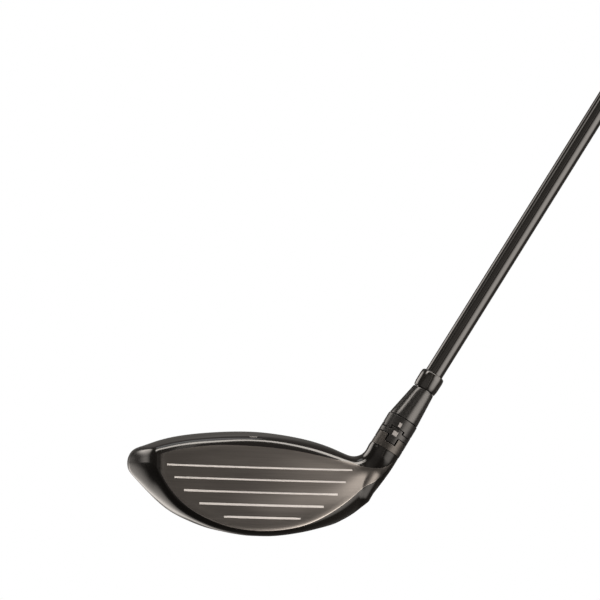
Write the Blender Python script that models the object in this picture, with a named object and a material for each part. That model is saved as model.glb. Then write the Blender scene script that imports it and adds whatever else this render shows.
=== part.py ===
"""Fairway wood, right handed, held by the grip. Metres, +X to the heel, face to -Y, +Z up.

The origin is the middle of the flat contact pad of the sole.
"""
import math

import bmesh
import bpy
import numpy as np

MM = 0.001
GAP = 0.3
SEAM = 0.45
SHARP = 30.0

# Angles of the club, degrees
LOFT = 16.0
HOSEL_LIE = 60.4
SHAFT_LIE = 59.5

# The face: its height at the middle, bulge and roll radii, mm
FACE_Y = -12.0
FACE_Z = 20.0
BULGE = 280.0
ROLL = 350.0
TOE_FROM = -46.0
TOE_BACK = 22.0
FACE_THICK = 2.4
CROWN_THICK = 1.2
SHELL = 1.6
RIM = 3.0
LEDGE = 2.4

# Outlines of the head as seen square to the face, toe first, mm (x, z)
TOE = (-56.0, 29.5)
TOP_LINE = [TOE, (-55.4, 33.3), (-53.5, 36.2), (-50.0, 38.0), (-45.0, 39.8), (-38.0, 41.8), (-28.0, 43.6),
            (-16.0, 44.9), (-4.0, 45.6), (4.0, 45.6), (12.0, 45.0), (22.0, 43.6), (30.0, 41.8), (37.0, 39.6),
            (42.5, 37.8), (46.0, 37.5), (49.2, 39.6), (51.7, 42.6), (54.0, 46.0), (56.1, 49.6), (60.4, 57.3)]
SOLE_LINE = [TOE, (-55.4, 25.9), (-53.3, 22.9), (-50.0, 19.4), (-45.0, 14.5), (-38.0, 8.8), (-30.0, 4.9),
             (-22.0, 2.1), (-13.0, 0.35), (-5.0, -0.5), (0.0, -0.6), (6.0, -0.4), (14.0, 0.5), (22.0, 1.75),
             (29.0, 3.1), (36.0, 4.9), (43.4, 8.1), (49.7, 12.6), (53.8, 16.4), (56.9, 20.1), (59.4, 23.9),
             (61.6, 27.9), (65.1, 35.4), (69.0, 42.2), (73.3, 49.8)]
FACE_LOW = [TOE, (-54.6, 30.0), (-51.5, 31.0), (-48.6, 30.6), (-46.6, 28.2), (-44.6, 24.4), (-39.2, 16.8),
            (-32.5, 11.1), (-23.4, 6.5), (-14.3, 3.7), (-5.1, 2.6), (0.6, 2.5), (9.0, 3.2), (18.5, 5.2),
            (28.1, 9.1), (37.8, 15.0), (43.7, 19.9), (50.5, 28.2), (56.4, 37.0), (61.0, 43.6), (65.5, 51.5)]
FACE_UP = [TOE, (-54.4, 31.6), (-51.5, 33.2), (-48.0, 34.6), (-42.0, 36.6), (-36.6, 37.9), (-27.4, 39.5),
           (-18.2, 40.4), (-4.4, 40.4), (9.6, 39.6), (19.1, 38.4), (28.5, 36.7), (36.5, 35.2), (42.5, 34.5),
           (47.5, 35.2), (51.5, 37.8), (54.8, 42.0), (57.4, 46.6), (61.4, 53.6)]
CROWN_EDGE = [TOE, (-55.1, 32.6), (-53.2, 34.9), (-50.0, 36.6), (-45.0, 38.3), (-38.0, 40.1), (-27.0, 41.9),
              (-13.0, 43.1), (-4.0, 43.3), (8.0, 42.7), (19.6, 41.1), (29.0, 39.2), (36.0, 37.6), (41.0, 36.6),
              (45.5, 36.3), (49.7, 38.2), (52.9, 41.8), (55.4, 46.2), (59.6, 53.8)]

# Planes that cut the head: station, anchor x, anchor z, turn in degrees, rear y, share of the round hosel
PLANES = [
    (0.0, -56.0, 50.0, 0.0, 18.4, 0.0),
    (3.5, -55.4, 50.0, 0.0, 27.0, 0.0),
    (7.5, -53.6, 50.0, 0.0, 34.0, 0.0),
    (12.5, -50.0, 50.0, 0.0, 41.5, 0.0),
    (18.5, -45.0, 50.0, 0.0, 48.6, 0.0),
    (26.0, -38.0, 50.0, 0.0, 55.6, 0.0),
    (36.0, -28.0, 50.0, 0.0, 62.6, 0.0),
    (48.0, -16.0, 50.0, 0.0, 67.8, 0.0),
    (60.0, -4.0, 50.0, 0.0, 70.4, 0.0),
    (73.0, 9.0, 50.0, 0.0, 70.0, 0.0),
    (86.0, 21.5, 50.0, 0.3, 65.6, 0.0),
    (96.0, 30.0, 50.0, 2.5, 58.0, 0.02),
    (104.0, 35.3, 50.0, 8.0, 48.6, 0.08),
    (111.0, 38.0, 50.0, 16.0, 38.8, 0.23),
    (117.0, 39.1, 50.0, 24.5, 30.0, 0.46),
    (123.0, 39.5, 50.0, 33.5, 22.0, 0.72),
    (129.0, 39.7, 50.0, 43.0, 14.6, 0.92),
    (135.0, 39.7, 50.1, 52.5, 9.6, 1.0),
    (141.0, 39.6, 50.0, 60.4, 7.4, 1.0),
    (145.0, 40.1, 50.9, 60.4, 7.4, 1.0),
]
LAST = 145.0

# The middle section: y, z from the low edge of the face over the crown and back along the sole, mm
MIDDLE = [(-16.7, 2.6), (-15.5, 7.0), (-12.3, 19.0), (-8.9, 31.0), (-6.0, 40.3), (-4.1, 43.2), (2.0, 44.8),
          (18.0, 45.7), (38.0, 43.0), (56.0, 36.0), (67.0, 28.5), (70.5, 21.5), (65.5, 13.2), (49.0, 5.4),
          (26.0, 1.2), (4.0, 0.0), (-8.4, 0.35), (-14.9, 1.1)]
SKIRT = 0.47

# The hosel and what stands in it: distances down its axis from the foot of the ferrule, mm
HOSEL_FOOT = (75.5, 68.67)
HOSEL_R = 7.4
BORE_R = 6.35
RING_TOP = 26.2
RING_FOOT = 32.8
BORE_FOOT = 47.2
WEB_FOOT = 52.2
SEAT_R = 4.9
PORT_R = 5.0
TUBE_R = 7.4
COLLAR_FOOT = 16.4
COG_SPLIT = 21.9
COG_FOOT = 25.9
TAB_LONG = 3.4
TAB_SHORT = 1.4
TAB_HALF = 18.5
TAB_TURN = -13.0
NOTCH_ROOM = 2.5
STEPS = 72
ADAPTOR_R = 6.0
ADAPTOR_FOOT = 46.6
SHAFT_TIP = 31.0
INSERT_TOP = 36.0
SCREW_R = 2.5
SCREW_HEAD = (53.7, 57.8)
SCREW_HEAD_R = 4.1
LOBE_R = 2.15
LOBE_WAVE = 0.35
LOBE_DEEP = 2.6
INSERT_R = 3.9
RETAINER = (47.7, 49.3)
RETAINER_R = 4.3
RETAINER_ROOM_R = 4.6
WEB_TOP = 49.6
WEB_HOLE_R = 2.9
SEAT_FOOT = 58.5
TUBE_TOP = 31.5
TUBE_FOOT = 61.0
PORT_FOOT = 84.0

# The weights: a bar low behind the face and a plug in the rear of the sole, mm
BAR_ENDS = (-24.0, 22.0)
BAR_R = 3.0
BAR_Y = -2.0
PLUG_STATION = 64.0
PLUG_R = 6.6
PLUG_DEEP = 4.9
BOSS_R = 9.5
BOSS_DEEP = 7.4

# The shaft and grip: distances up the shaft from the foot of the ferrule, mm
SHAFT_FOOT = (76.5, 68.1)
TIP_R = 4.25
BUTT_R = 7.6
PARALLEL = 180.0
BUTT = 1012.0
WALL = 1.1
FERRULE = 8.9
FERRULE_R = 5.75
GRIP_FROM = 752.0
GRIP_R = (9.6, 13.3)
CAP_R = 8.7
VENT_R = 1.2
TAPE = (0.15, 0.4)

SCORES = [(30.75, 43.0), (25.3, 39.7), (19.7, 35.5), (14.1, 28.7), (8.55, 17.7)]
SCORE_DEEP = 0.5
SCORE_HALF = 0.45


def spline(knots, values, at, closed=False):
    """Natural cubic spline through the values, or a closed one when its last value repeats the first."""
    x = np.asarray(knots, float)
    y = np.asarray(values, float).reshape(len(x), -1)
    n = len(x)
    step = np.diff(x)[:, None]
    slope = np.diff(y, axis=0) / step
    lhs = np.zeros((n, n))
    rhs = np.zeros((n, y.shape[1]))
    for i in range(1, n - 1):
        lhs[i, i - 1:i + 2] = step[i - 1, 0], 2 * (step[i - 1, 0] + step[i, 0]), step[i, 0]
        rhs[i] = 6 * (slope[i] - slope[i - 1])
    if closed:
        lhs[0, 0] = 2 * (step[-1, 0] + step[0, 0])
        lhs[0, 1] = step[0, 0]
        lhs[0, n - 2] += step[-1, 0]
        rhs[0] = 6 * (slope[0] - slope[-1])
        lhs[n - 1, 0] = 1
        lhs[n - 1, n - 1] = -1
    else:
        lhs[0, 0] = lhs[n - 1, n - 1] = 1
    bend = np.linalg.solve(lhs, rhs)
    at = np.asarray(at, float)
    if closed:
        at = x[0] + np.mod(at - x[0], x[-1] - x[0])
    i = np.clip(np.searchsorted(x, at, side="right") - 1, 0, n - 2)
    h = step[i]
    a = (x[i + 1] - at)[:, None] / h
    b = (at - x[i])[:, None] / h
    return a * y[i] + b * y[i + 1] + ((a ** 3 - a) * bend[i] + (b ** 3 - b) * bend[i + 1]) * h * h / 6


def smooth_line(points, count=3000):
    points = np.array(points)
    along = np.concatenate([[0], np.cumsum(np.linalg.norm(np.diff(points, axis=0), axis=1))])
    return spline(along, points, np.linspace(0, along[-1], count))


LINES = {name: smooth_line(line) for name, line in
         (("top", TOP_LINE), ("sole", SOLE_LINE), ("low", FACE_LOW), ("up", FACE_UP), ("edge", CROWN_EDGE))}
KNOTS = np.concatenate([[0], np.cumsum(np.linalg.norm(np.diff(np.array(MIDDLE + MIDDLE[:1]), axis=0), axis=1))])
ROUND = KNOTS[-1]
U_LOW, U_UP, U_EDGE, U_SKIRT = KNOTS[0], KNOTS[4], KNOTS[5], KNOTS[10]


def face_y(x, z):
    """The y of the face: lofted, with bulge and roll, and turned back round the toe."""
    up = z - FACE_Z
    y = FACE_Y + up * math.tan(math.radians(LOFT)) + x * x / (2 * BULGE) + up * up / (2 * ROLL)
    return y + TOE_BACK * max(0.0, (TOE_FROM - x) / 10.0) ** 2.2


def circle_angles():
    """Angle of each control point of the middle section round its own box, growing along the section."""
    points = np.array(MIDDLE)
    low, high = points.min(axis=0), points.max(axis=0)
    y, z = ((points - (low + high) / 2) / ((high - low) / 2)).T
    turns = np.unwrap(np.arctan2(z, y))
    return np.append(turns, turns[0] - 2 * math.pi)


TURNS = circle_angles()


class Plane:
    """One cut through the head: where it stands and its closed section of (y, distance down from the anchor)."""

    def __init__(self, station):
        s = [row[0] for row in PLANES]
        x, z, turn, rear, share = spline(s, [row[1:] for row in PLANES], [station])[0]
        self.anchor = np.array([x, z])
        turn = math.radians(turn)
        self.down = np.array([math.sin(turn), -math.cos(turn)])
        self.rear = rear
        self.share = min(1.0, max(0.0, share))
        self.points = self.section()

    def cut(self, name):
        line = LINES[name]
        side = (line - self.anchor) @ np.array([-self.down[1], self.down[0]])
        i = int(np.argmax(side > 0))
        if i == 0:
            return float((line[0] - self.anchor) @ self.down)
        t = -side[i - 1] / (side[i] - side[i - 1])
        return float((line[i - 1] + (line[i] - line[i - 1]) * t - self.anchor) @ self.down)

    def front(self, r):
        x, z = self.anchor + self.down * r
        return face_y(x, z)

    def section(self):
        top, sole, low, up, edge = (self.cut(name) for name in ("top", "sole", "low", "up", "edge"))
        edge = max(edge, top + 0.02 * (sole - top))
        up = max(up, edge + 0.02 * (sole - top))
        low = min(max(low, up + 0.02 * (sole - top)), sole - 0.02 * (sole - top))
        skirt = sole - SKIRT * (sole - top)
        middle = np.array(MIDDLE)
        out = []
        for k in range(5):
            r = low + (up - low) * (middle[k, 1] - middle[0, 1]) / (middle[4, 1] - middle[0, 1])
            out.append((self.front(r), r))
        first = out[0][0]
        width = self.rear - first
        small = min(1.0, (sole - top) / 25.0)
        y5 = out[4][0] + 1.9 * small
        out.append((y5, edge))
        y0, yr = middle[5, 0], middle[11, 0]
        zs, zt = middle[11, 1], middle[7, 1]
        for k in range(6, 11):
            out.append((y5 + (self.rear - y5) * (middle[k, 0] - y0) / (yr - y0),
                        skirt - (skirt - top) * (middle[k, 1] - zs) / (zt - zs)))
        out.append((self.rear, skirt))
        ground = first + 0.24 * width
        for k in range(12, 16):
            out.append((ground + (self.rear - ground) * (middle[k, 0] - 4.0) / (yr - 4.0),
                        sole - (sole - skirt) * middle[k, 1] / zs))
        band = max(0.0, sole - low - 3.0)
        out.append((first + 0.095 * width + 0.22 * band, sole - 0.12 * (sole - low)))
        out.append((first + 0.022 * width + 0.1 * band, sole - 0.45 * (sole - low)))
        out = np.array(out)
        self.centre = np.array([(out[:, 0].min() + out[:, 0].max()) / 2, (top + sole) / 2])
        self.half = np.array([(out[:, 0].max() - out[:, 0].min()) / 2, (sole - top) / 2])
        goal = np.array([HOSEL_R, HOSEL_R])
        self.centre = self.centre * (1 - self.share) + np.array([0.0, (top + sole) / 2]) * self.share
        self.half = self.half * (1 - self.share) + goal * self.share
        return out

    def loop(self, u):
        """Points (x, y, z) round the section at the lengths u."""
        u = np.atleast_1d(u)
        ring = np.vstack([self.points, self.points[:1]])
        along = np.concatenate([[0], np.cumsum(np.linalg.norm(np.diff(ring, axis=0), axis=1))])
        shape = spline(along, ring, np.interp(np.mod(u, ROUND), KNOTS, along), closed=True)
        wave = TURNS - (TURNS[0] - 2 * math.pi * KNOTS / ROUND)
        turn = TURNS[0] - 2 * math.pi * np.mod(u, ROUND) / ROUND + spline(KNOTS, wave, u, closed=True)[:, 0]
        ring = self.centre + self.half * np.stack([np.cos(turn), -np.sin(turn)], axis=1)
        shape = shape * (1 - self.share) + ring * self.share
        flat = self.anchor + shape[:, 1:] * self.down
        return np.stack([flat[:, 0], shape[:, 0], flat[:, 1]], axis=1)


def surface(stations, u):
    """Grid of points of the skin of the head, one row for each station. u may be a list for each station."""
    rows = []
    for i, s in enumerate(stations):
        row = u[i] if np.ndim(u) == 2 else u
        rows.append(Plane(s).loop(np.asarray(row, float)))
    grid = np.array(rows)
    grid[:, :, 2] = np.maximum(grid[:, :, 2], 0.0)
    return grid


def normals(stations, u):
    """Grid of the outward normals of the same points."""
    wide = np.asarray(u, float) if np.ndim(u) == 2 else np.tile(np.asarray(u, float), (len(stations), 1))
    stations = np.asarray(stations, float)
    before, after = np.maximum(stations - 0.4, 0.05), np.minimum(stations + 0.4, LAST)
    along = surface(after, wide) - surface(before, wide)
    across = surface(stations, wide + 0.3) - surface(stations, wide - 0.3)
    out = np.cross(along, across)
    return out / np.linalg.norm(out, axis=2, keepdims=True)


def clear_scene():
    for obj in list(bpy.data.objects):
        bpy.data.objects.remove(obj, do_unlink=True)


def material(name, colour, metallic, roughness):
    mat = bpy.data.materials.get(name)
    if mat:
        return mat
    mat = bpy.data.materials.new(name)
    mat.use_nodes = True
    shader = mat.node_tree.nodes["Principled BSDF"]
    shader.inputs["Base Color"].default_value = (*colour, 1)
    shader.inputs["Metallic"].default_value = metallic
    shader.inputs["Roughness"].default_value = roughness
    mat.diffuse_color = (*colour, 1)
    return mat


PAINTS = {
    "painted_body": ((0.012, 0.012, 0.011), 0.0, 0.25),
    "brushed_face": ((0.16, 0.15, 0.135), 1.0, 0.35),
    "gloss_crown": ((0.01, 0.01, 0.01), 0.0, 0.12),
    "ring_steel": ((0.12, 0.12, 0.12), 1.0, 0.45),
    "black_alloy": ((0.02, 0.02, 0.02), 1.0, 0.35),
    "ferrule_plastic": ((0.01, 0.01, 0.01), 0.0, 0.2),
    "shaft_paint": ((0.02, 0.02, 0.02), 0.0, 0.25),
    "bright_steel": ((0.5, 0.5, 0.48), 1.0, 0.3),
    "nylon": ((0.6, 0.6, 0.55), 0.0, 0.5),
    "tungsten": ((0.3, 0.3, 0.3), 1.0, 0.4),
    "tape": ((0.6, 0.5, 0.3), 0.0, 0.8),
    "grip_rubber": ((0.015, 0.015, 0.015), 0.0, 0.7),
}


def make(name, points, faces, paint, helper=False):
    mesh = bpy.data.meshes.new(name)
    mesh.from_pydata([tuple(float(c) * MM for c in p) for p in points], [], faces)
    bm = bmesh.new()
    bm.from_mesh(mesh)
    bmesh.ops.recalc_face_normals(bm, faces=bm.faces)
    bm.to_mesh(mesh)
    bm.free()
    mesh.shade_smooth()
    mesh.set_sharp_from_angle(angle=math.radians(SHARP))
    obj = bpy.data.objects.new(name, mesh)
    bpy.context.collection.objects.link(obj)
    mesh.materials.append(material(paint, *PAINTS[paint]))
    if helper:
        obj.hide_render = True
        obj.display_type = "WIRE"
    return obj


def boolean(obj, operation, other):
    mod = obj.modifiers.new(operation.title() + " " + other.name, "BOOLEAN")
    mod.operation = operation
    mod.solver = "EXACT"
    mod.object = other
    return mod


def axis_frame(lie):
    """Unit vectors (up the axis, across it towards the heel, to the rear) as columns."""
    a = math.radians(lie)
    up = np.array([math.cos(a), 0.0, math.sin(a)])
    out = np.array([math.sin(a), 0.0, -math.cos(a)])
    return up, out, np.array([0.0, 1.0, 0.0])


def on_hosel(h, across=0.0, back=0.0):
    """A point h down the axis of the hosel."""
    up, out, rear = axis_frame(HOSEL_LIE)
    return np.array([HOSEL_FOOT[0], 0.0, HOSEL_FOOT[1]]) - up * h + out * across + rear * back


def on_shaft(t, across=0.0, back=0.0):
    """A point t up the axis of the shaft."""
    up, out, rear = axis_frame(SHAFT_LIE)
    return np.array([SHAFT_FOOT[0], 0.0, SHAFT_FOOT[1]]) + up * t + out * across + rear * back


def turned(name, profile, place, paint, helper=False, steps=32):
    """A closed profile of (radius, distance) turned round an axis. A radius of 0 is a point on the axis."""
    points, rings = [], []
    for radius, along in profile:
        if radius == 0:
            rings.append([len(points)] * steps)
            points.append(place(along))
            continue
        rings.append(list(range(len(points), len(points) + steps)))
        for k in range(steps):
            a = 2 * math.pi * k / steps
            points.append(place(along, radius * math.cos(a), radius * math.sin(a)))
    faces = []
    for i, ring in enumerate(rings):
        after = rings[(i + 1) % len(rings)]
        if ring[0] == ring[-1] and after[0] == after[-1]:
            continue
        for k in range(steps):
            m = (k + 1) % steps
            face = list(dict.fromkeys([ring[k], ring[m], after[m], after[k]]))
            if len(face) > 2:
                faces.append(face)
    return make(name, points, faces, paint, helper)


def toothed(name, inner, outer, tops, feet, paint, steps):
    """A ring whose upper and lower ends step between levels: tops and feet give the level of each sector."""
    points, index = [], {}

    def corner(k, h, side):
        key = (k % steps, round(h, 4), side)
        if key not in index:
            index[key] = len(points)
            a = 2 * math.pi * (k % steps) / steps - math.pi / 2
            r = (inner, outer)[side]
            points.append(on_hosel(h, r * math.cos(a), r * math.sin(a)))
        return index[key]

    def levels(k, other):
        """Levels at which the wall of sector k needs a corner beside another sector."""
        return sorted({h for h in (tops[k], feet[k], tops[other], feet[other]) if tops[k] <= h <= feet[k]})

    def patch(*corners):
        faces.append([corner(*at) for at in corners])

    faces = []
    for k in range(steps):
        after = (k + 1) % steps
        for side in (0, 1):
            left = [(k, h, side) for h in levels(k, (k - 1) % steps)]
            right = [(k + 1, h, side) for h in reversed(levels(k, after))]
            patch(*left, *right)
        for level in (tops[k], feet[k]):
            patch((k, level, 0), (k + 1, level, 0), (k + 1, level, 1), (k, level, 1))
        for one, two in ((tops[k], tops[after]), (feet[k], feet[after])):
            if one != two:
                patch((k + 1, one, 0), (k + 1, two, 0), (k + 1, two, 1), (k + 1, one, 1))
    return make(name, points, faces, paint)


def sectors(steps, plain, tab, half, turn):
    """Level of each sector of a ring: tab within half degrees of four directions, plain elsewhere."""
    out = []
    for k in range(steps):
        middle = (k + 0.5) * 360.0 / steps
        off = (middle - turn + 45.0) % 90.0 - 45.0
        out.append(tab if abs(off) < half else plain)
    return out


def span(start, end, count):
    return list(np.linspace(start, end, count))


# The openings of the body as ranges of station and of length round the section
FACE_OPEN = (15.8, 102.5, U_LOW + 1.4, U_UP - 0.3)
CROWN_OPEN = (9.5, 110.0, U_EDGE + 1.6, U_SKIRT)


def merged(*lists):
    """The sorted union of lists of numbers, near repeats dropped."""
    out = []
    for value in sorted(v for values in lists for v in values):
        if not out or value - out[-1] > 1e-6:
            out.append(value)
    return out


ROWS = merged([1.2, 4.0, 7.0, 12.6, 17.6, 19.8, 22.5, 26.5, 32.0, 39.0, 47.0, 54.0, 59.5, 64.0, 68.5, 75.0, 82.5,
               90.0, 96.5],
              [FACE_OPEN[0], FACE_OPEN[1], CROWN_OPEN[0], CROWN_OPEN[1]],
              [106.5, 115.5, 122.5, 126.0, 129.5, 133.0, 137.0, 141.0, LAST])
COLUMNS = merged(span(FACE_OPEN[2], FACE_OPEN[3], 8), span(CROWN_OPEN[2], CROWN_OPEN[3], 9),
                 [U_LOW, U_EDGE - 1.2, U_EDGE, U_EDGE + 0.7], span(CROWN_OPEN[3], KNOTS[16], 12), [KNOTS[17], KNOTS[17] + 1.5])


def reach(s, u):
    """How far off a line of the grid one unit of length, and one of station, moves a point."""
    base = surface(s, u)
    across = (surface(s, u + 0.3) - base) / 0.3
    along = (surface(np.minimum(np.asarray(s) + 0.3, LAST), u) - base) / 0.3
    area = np.linalg.norm(np.cross(across, along), axis=2)
    return area / np.linalg.norm(along, axis=2), area / np.linalg.norm(across, axis=2)


def inside(opening, shift):
    """Stations and lengths of the grid in an opening, its edge moved in by shift mm."""
    s0, s1, u0, u1 = opening
    s = np.array([v for v in ROWS if s0 <= v <= s1])
    u = np.tile([v for v in COLUMNS if u0 <= v <= u1], (len(s), 1))
    by_u, by_s = reach(s, u)
    room = 0.3 * (u1 - u0)
    low = u0 + np.minimum(shift / by_u[:, :1], room)
    high = u1 - np.minimum(shift / by_u[:, -1:], room)
    u = low + (high - low) * (u - u0) / (u1 - u0)
    near, far = s0 + shift / by_s[0].mean(), s1 - shift / by_s[-1].mean()
    s[1:-1] = np.clip(s[1:-1], near + 0.3, far - 0.3)
    s[0], s[-1] = near, far
    return s, u


def plate(name, opening, thick, paint):
    """A plate that fills an opening of the head, a gap short of its edge all round."""
    s, u = inside(opening, SEAM)
    stations, lengths = u.shape
    skin, out = surface(s, u), normals(s, u)
    points = np.concatenate([skin.reshape(-1, 3), (skin - out * thick).reshape(-1, 3)])
    size = stations * lengths
    faces = []
    for i in range(stations - 1):
        for j in range(lengths - 1):
            a, b, c, d = i * lengths + j, i * lengths + j + 1, (i + 1) * lengths + j + 1, (i + 1) * lengths + j
            faces.append([a, b, c, d])
            faces.append([d + size, c + size, b + size, a + size])
    edge = ([j for j in range(lengths)] + [i * lengths + lengths - 1 for i in range(1, stations)]
            + [(stations - 1) * lengths + j for j in range(lengths - 2, -1, -1)]
            + [i * lengths for i in range(stations - 2, 0, -1)])
    for k, one in enumerate(edge):
        two = edge[(k + 1) % len(edge)]
        faces.append([one, two, two + size, one + size])
    return make(name, points, faces, paint)


def shell_mesh(name):
    """The body as one closed shell: outer skin, inner skin and the stepped rims of the two openings."""
    s_list, u_list = ROWS, COLUMNS
    rows, cols = len(s_list), len(u_list)
    inner_rows = s_list.index(CROWN_OPEN[1]) + 1
    skin, out = surface(s_list, u_list), normals(s_list, u_list)
    thick = np.full((rows, cols), SHELL)
    at = {}
    for key, (s0, s1, u0, u1) in (("face", FACE_OPEN), ("crown", CROWN_OPEN)):
        i0, i1, j0, j1 = s_list.index(s0), s_list.index(s1), u_list.index(u0), u_list.index(u1)
        at[key] = i0, i1, j0, j1
        for i in range(i0, i1 + 1):
            thick[i, j0] = thick[i, j1] = RIM + (FACE_THICK - CROWN_THICK if key == "face" else 0.0)
        for j in range(j0, j1 + 1):
            thick[i0, j] = thick[i1, j] = RIM + (FACE_THICK - CROWN_THICK if key == "face" else 0.0)
    thick[0] = 0.5
    points = list(skin.reshape(-1, 3))
    low = len(points)
    points += list((skin - out * thick[:, :, None]).reshape(-1, 3))

    def open_at(i, j):
        return any(i0 <= i < i1 and j0 <= j < j1 for i0, i1, j0, j1 in at.values())

    faces = []
    for i in range(rows - 1):
        for j in range(cols):
            m = (j + 1) % cols
            if open_at(i, j):
                continue
            quad = [i * cols + j, i * cols + m, (i + 1) * cols + m, (i + 1) * cols + j]
            faces.append(quad)
            if i < inner_rows:
                faces.append([low + k for k in reversed(quad)])
    for row, base in ((0, 0), (rows - 1, 0), (0, low), (inner_rows, low)):
        middle = len(points)
        ring = [base + row * cols + j for j in range(cols)]
        centre = np.mean([points[k] for k in ring], axis=0)
        if row == 0:
            centre = centre + (np.array([-0.25, 0, 0]) if base == 0 else 0)
        points.append(centre)
        for j in range(cols):
            faces.append([ring[j], ring[(j + 1) % cols], middle])
    for key, (i0, i1, j0, j1) in at.items():
        border = ([(i0, j) for j in range(j0, j1)] + [(i, j1) for i in range(i0, i1)]
                  + [(i1, j) for j in range(j1, j0, -1)] + [(i, j0) for i in range(i1, i0, -1)])
        deep = (FACE_THICK if key == "face" else CROWN_THICK) + SEAM
        rim = thick[i0, j0]
        rings = [[i * cols + j for i, j in border]]
        base = len(points)
        points += [skin[i, j] - out[i, j] * deep for i, j in border]
        rings.append(list(range(base, base + len(border))))
        s, u = inside(FACE_OPEN if key == "face" else CROWN_OPEN, LEDGE)
        flat, square = surface(s, u), normals(s, u)
        inset = [(flat[i - i0, j - j0], square[i - i0, j - j0]) for i, j in border]
        base = len(points)
        points += [p - n * deep for p, n in inset]
        rings.append(list(range(base, base + len(border))))
        base = len(points)
        points += [p - n * rim for p, n in inset]
        rings.append(list(range(base, base + len(border))))
        rings.append([low + i * cols + j for i, j in border])
        for one, two in zip(rings, rings[1:]):
            for k in range(len(border)):
                m = (k + 1) % len(border)
                faces.append([one[k], one[m], two[m], two[k]])
    used = sorted({k for face in faces for k in face})
    place = {k: n for n, k in enumerate(used)}
    return make(name, [points[k] for k in used], [[place[k] for k in face] for face in faces], "painted_body")


def head_body():
    body = shell_mesh("head_body")
    waist = HOSEL_R - 0.6
    tube = turned("cut_tube", [(0, TUBE_TOP), (waist, TUBE_TOP), (waist, 36.0), (TUBE_R, 37.5), (TUBE_R, TUBE_FOOT),
                               (4.0, TUBE_FOOT + 3.0), (0, TUBE_FOOT + 3.0)], on_hosel, "painted_body", True)
    bore = turned("cut_bore", [(0, 20), (BORE_R, 20), (BORE_R, BORE_FOOT), (RETAINER_ROOM_R, BORE_FOOT),
                               (RETAINER_ROOM_R, WEB_TOP), (WEB_HOLE_R, WEB_TOP), (WEB_HOLE_R, WEB_FOOT),
                               (SEAT_R, WEB_FOOT), (SEAT_R, SEAT_FOOT), (PORT_R, SEAT_FOOT + 0.5),
                               (PORT_R + 0.4, PORT_FOOT), (0, PORT_FOOT)], on_hosel, "painted_body", True)
    boss = turned("cut_boss", [(0, 1.1), (BOSS_R, 1.1), (BOSS_R, BOSS_DEEP), (0, BOSS_DEEP)],
                  on_sole_weight, "painted_body", True)
    room = PLUG_R + 0.4
    pocket = turned("cut_pocket", [(0, PLUG_DEEP + GAP), (room, PLUG_DEEP + GAP), (room, -6.0), (0, -6.0)],
                    on_sole_weight, "painted_body", True)
    boolean(tube, "INTERSECT", shell_keep("cut_keep"))
    boolean(body, "UNION", tube)
    boolean(body, "DIFFERENCE", bore)
    boolean(body, "UNION", boss)
    boolean(body, "DIFFERENCE", pocket)
    return body


def shell_keep(name):
    """The closed skin of the head a little inside itself, which trims the tube."""
    s_list = merged([1.2, 4.0, 7.0, 12.0], span(18, 141, 22))
    u_list = span(0, ROUND, 31)[:-1]
    skin = surface(s_list, u_list) - normals(s_list, u_list) * 0.45
    cols = len(u_list)
    points = list(skin.reshape(-1, 3))
    faces = []
    for i in range(len(s_list) - 1):
        for j in range(cols):
            m = (j + 1) % cols
            faces.append([i * cols + j, i * cols + m, (i + 1) * cols + m, (i + 1) * cols + j])
    faces.append(list(range(cols)))
    faces.append([(len(s_list) - 1) * cols + j for j in range(cols)])
    return make(name, points, faces, "painted_body", True)


def on_sole_weight(h, across=0.0, back=0.0):
    """A point h up from the skin of the rear of the sole, square to it."""
    u = KNOTS[13] + 2.0
    here = Plane(PLUG_STATION).loop([u])[0]
    out = normals([PLUG_STATION], np.array([[u]]))[0, 0]
    side = np.array([1.0, 0.0, 0.0])
    side = side - out * (side @ out)
    side = side / np.linalg.norm(side)
    return here - out * h + side * across + np.cross(out, side) * back


def score_cutter(name):
    """Five shallow bars that follow the bulge of the face."""
    points, faces = [], []
    for z, half in SCORES:
        base = len(points)
        count = 13
        for x in np.linspace(-half, half, count):
            for dz, lift in ((-SCORE_HALF, 1.2), (SCORE_HALF, 1.2), (SCORE_HALF, -SCORE_DEEP), (-SCORE_HALF, -SCORE_DEEP)):
                y = face_y(x, z + dz)
                points.append((x, y - lift, z + dz + lift * 0.28))
        for i in range(count - 1):
            for k in range(4):
                m = (k + 1) % 4
                faces.append([base + i * 4 + k, base + i * 4 + m, base + (i + 1) * 4 + m, base + (i + 1) * 4 + k])
        faces.append([base + k for k in range(4)])
        faces.append([base + (count - 1) * 4 + k for k in range(4)])
    return make(name, points, faces, "brushed_face", True)


def face_plate():
    obj = plate("face_plate", FACE_OPEN, FACE_THICK, "brushed_face")
    boolean(obj, "DIFFERENCE", score_cutter("cut_scores"))
    return obj


def crown():
    return plate("crown", CROWN_OPEN, CROWN_THICK, "gloss_crown")


def rings():
    """The castellated ring of the hosel and the two cogs above it, whose tabs stand in each other's notches."""
    notch = TAB_HALF + NOTCH_ROOM
    ring = sectors(STEPS, RING_TOP, COG_FOOT + TAB_LONG + GAP, notch, TAB_TURN)
    toothed("hosel_ring", BORE_R, HOSEL_R, ring, [RING_FOOT] * STEPS, "ring_steel", STEPS)
    tops = sectors(STEPS, COG_SPLIT + GAP, COG_SPLIT + TAB_SHORT + GAP, notch, TAB_TURN + 45.0)
    feet = sectors(STEPS, COG_FOOT, COG_FOOT + TAB_LONG, TAB_HALF, TAB_TURN)
    toothed("lower_cog", BORE_R - 0.1, HOSEL_R, tops, feet, "black_alloy", STEPS)
    feet = sectors(STEPS, COG_SPLIT, COG_SPLIT + TAB_SHORT, TAB_HALF, TAB_TURN + 45.0)
    toothed("upper_cog", BORE_R - 0.1, HOSEL_R, [COLLAR_FOOT + GAP] * STEPS, feet, "black_alloy", STEPS)


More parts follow.
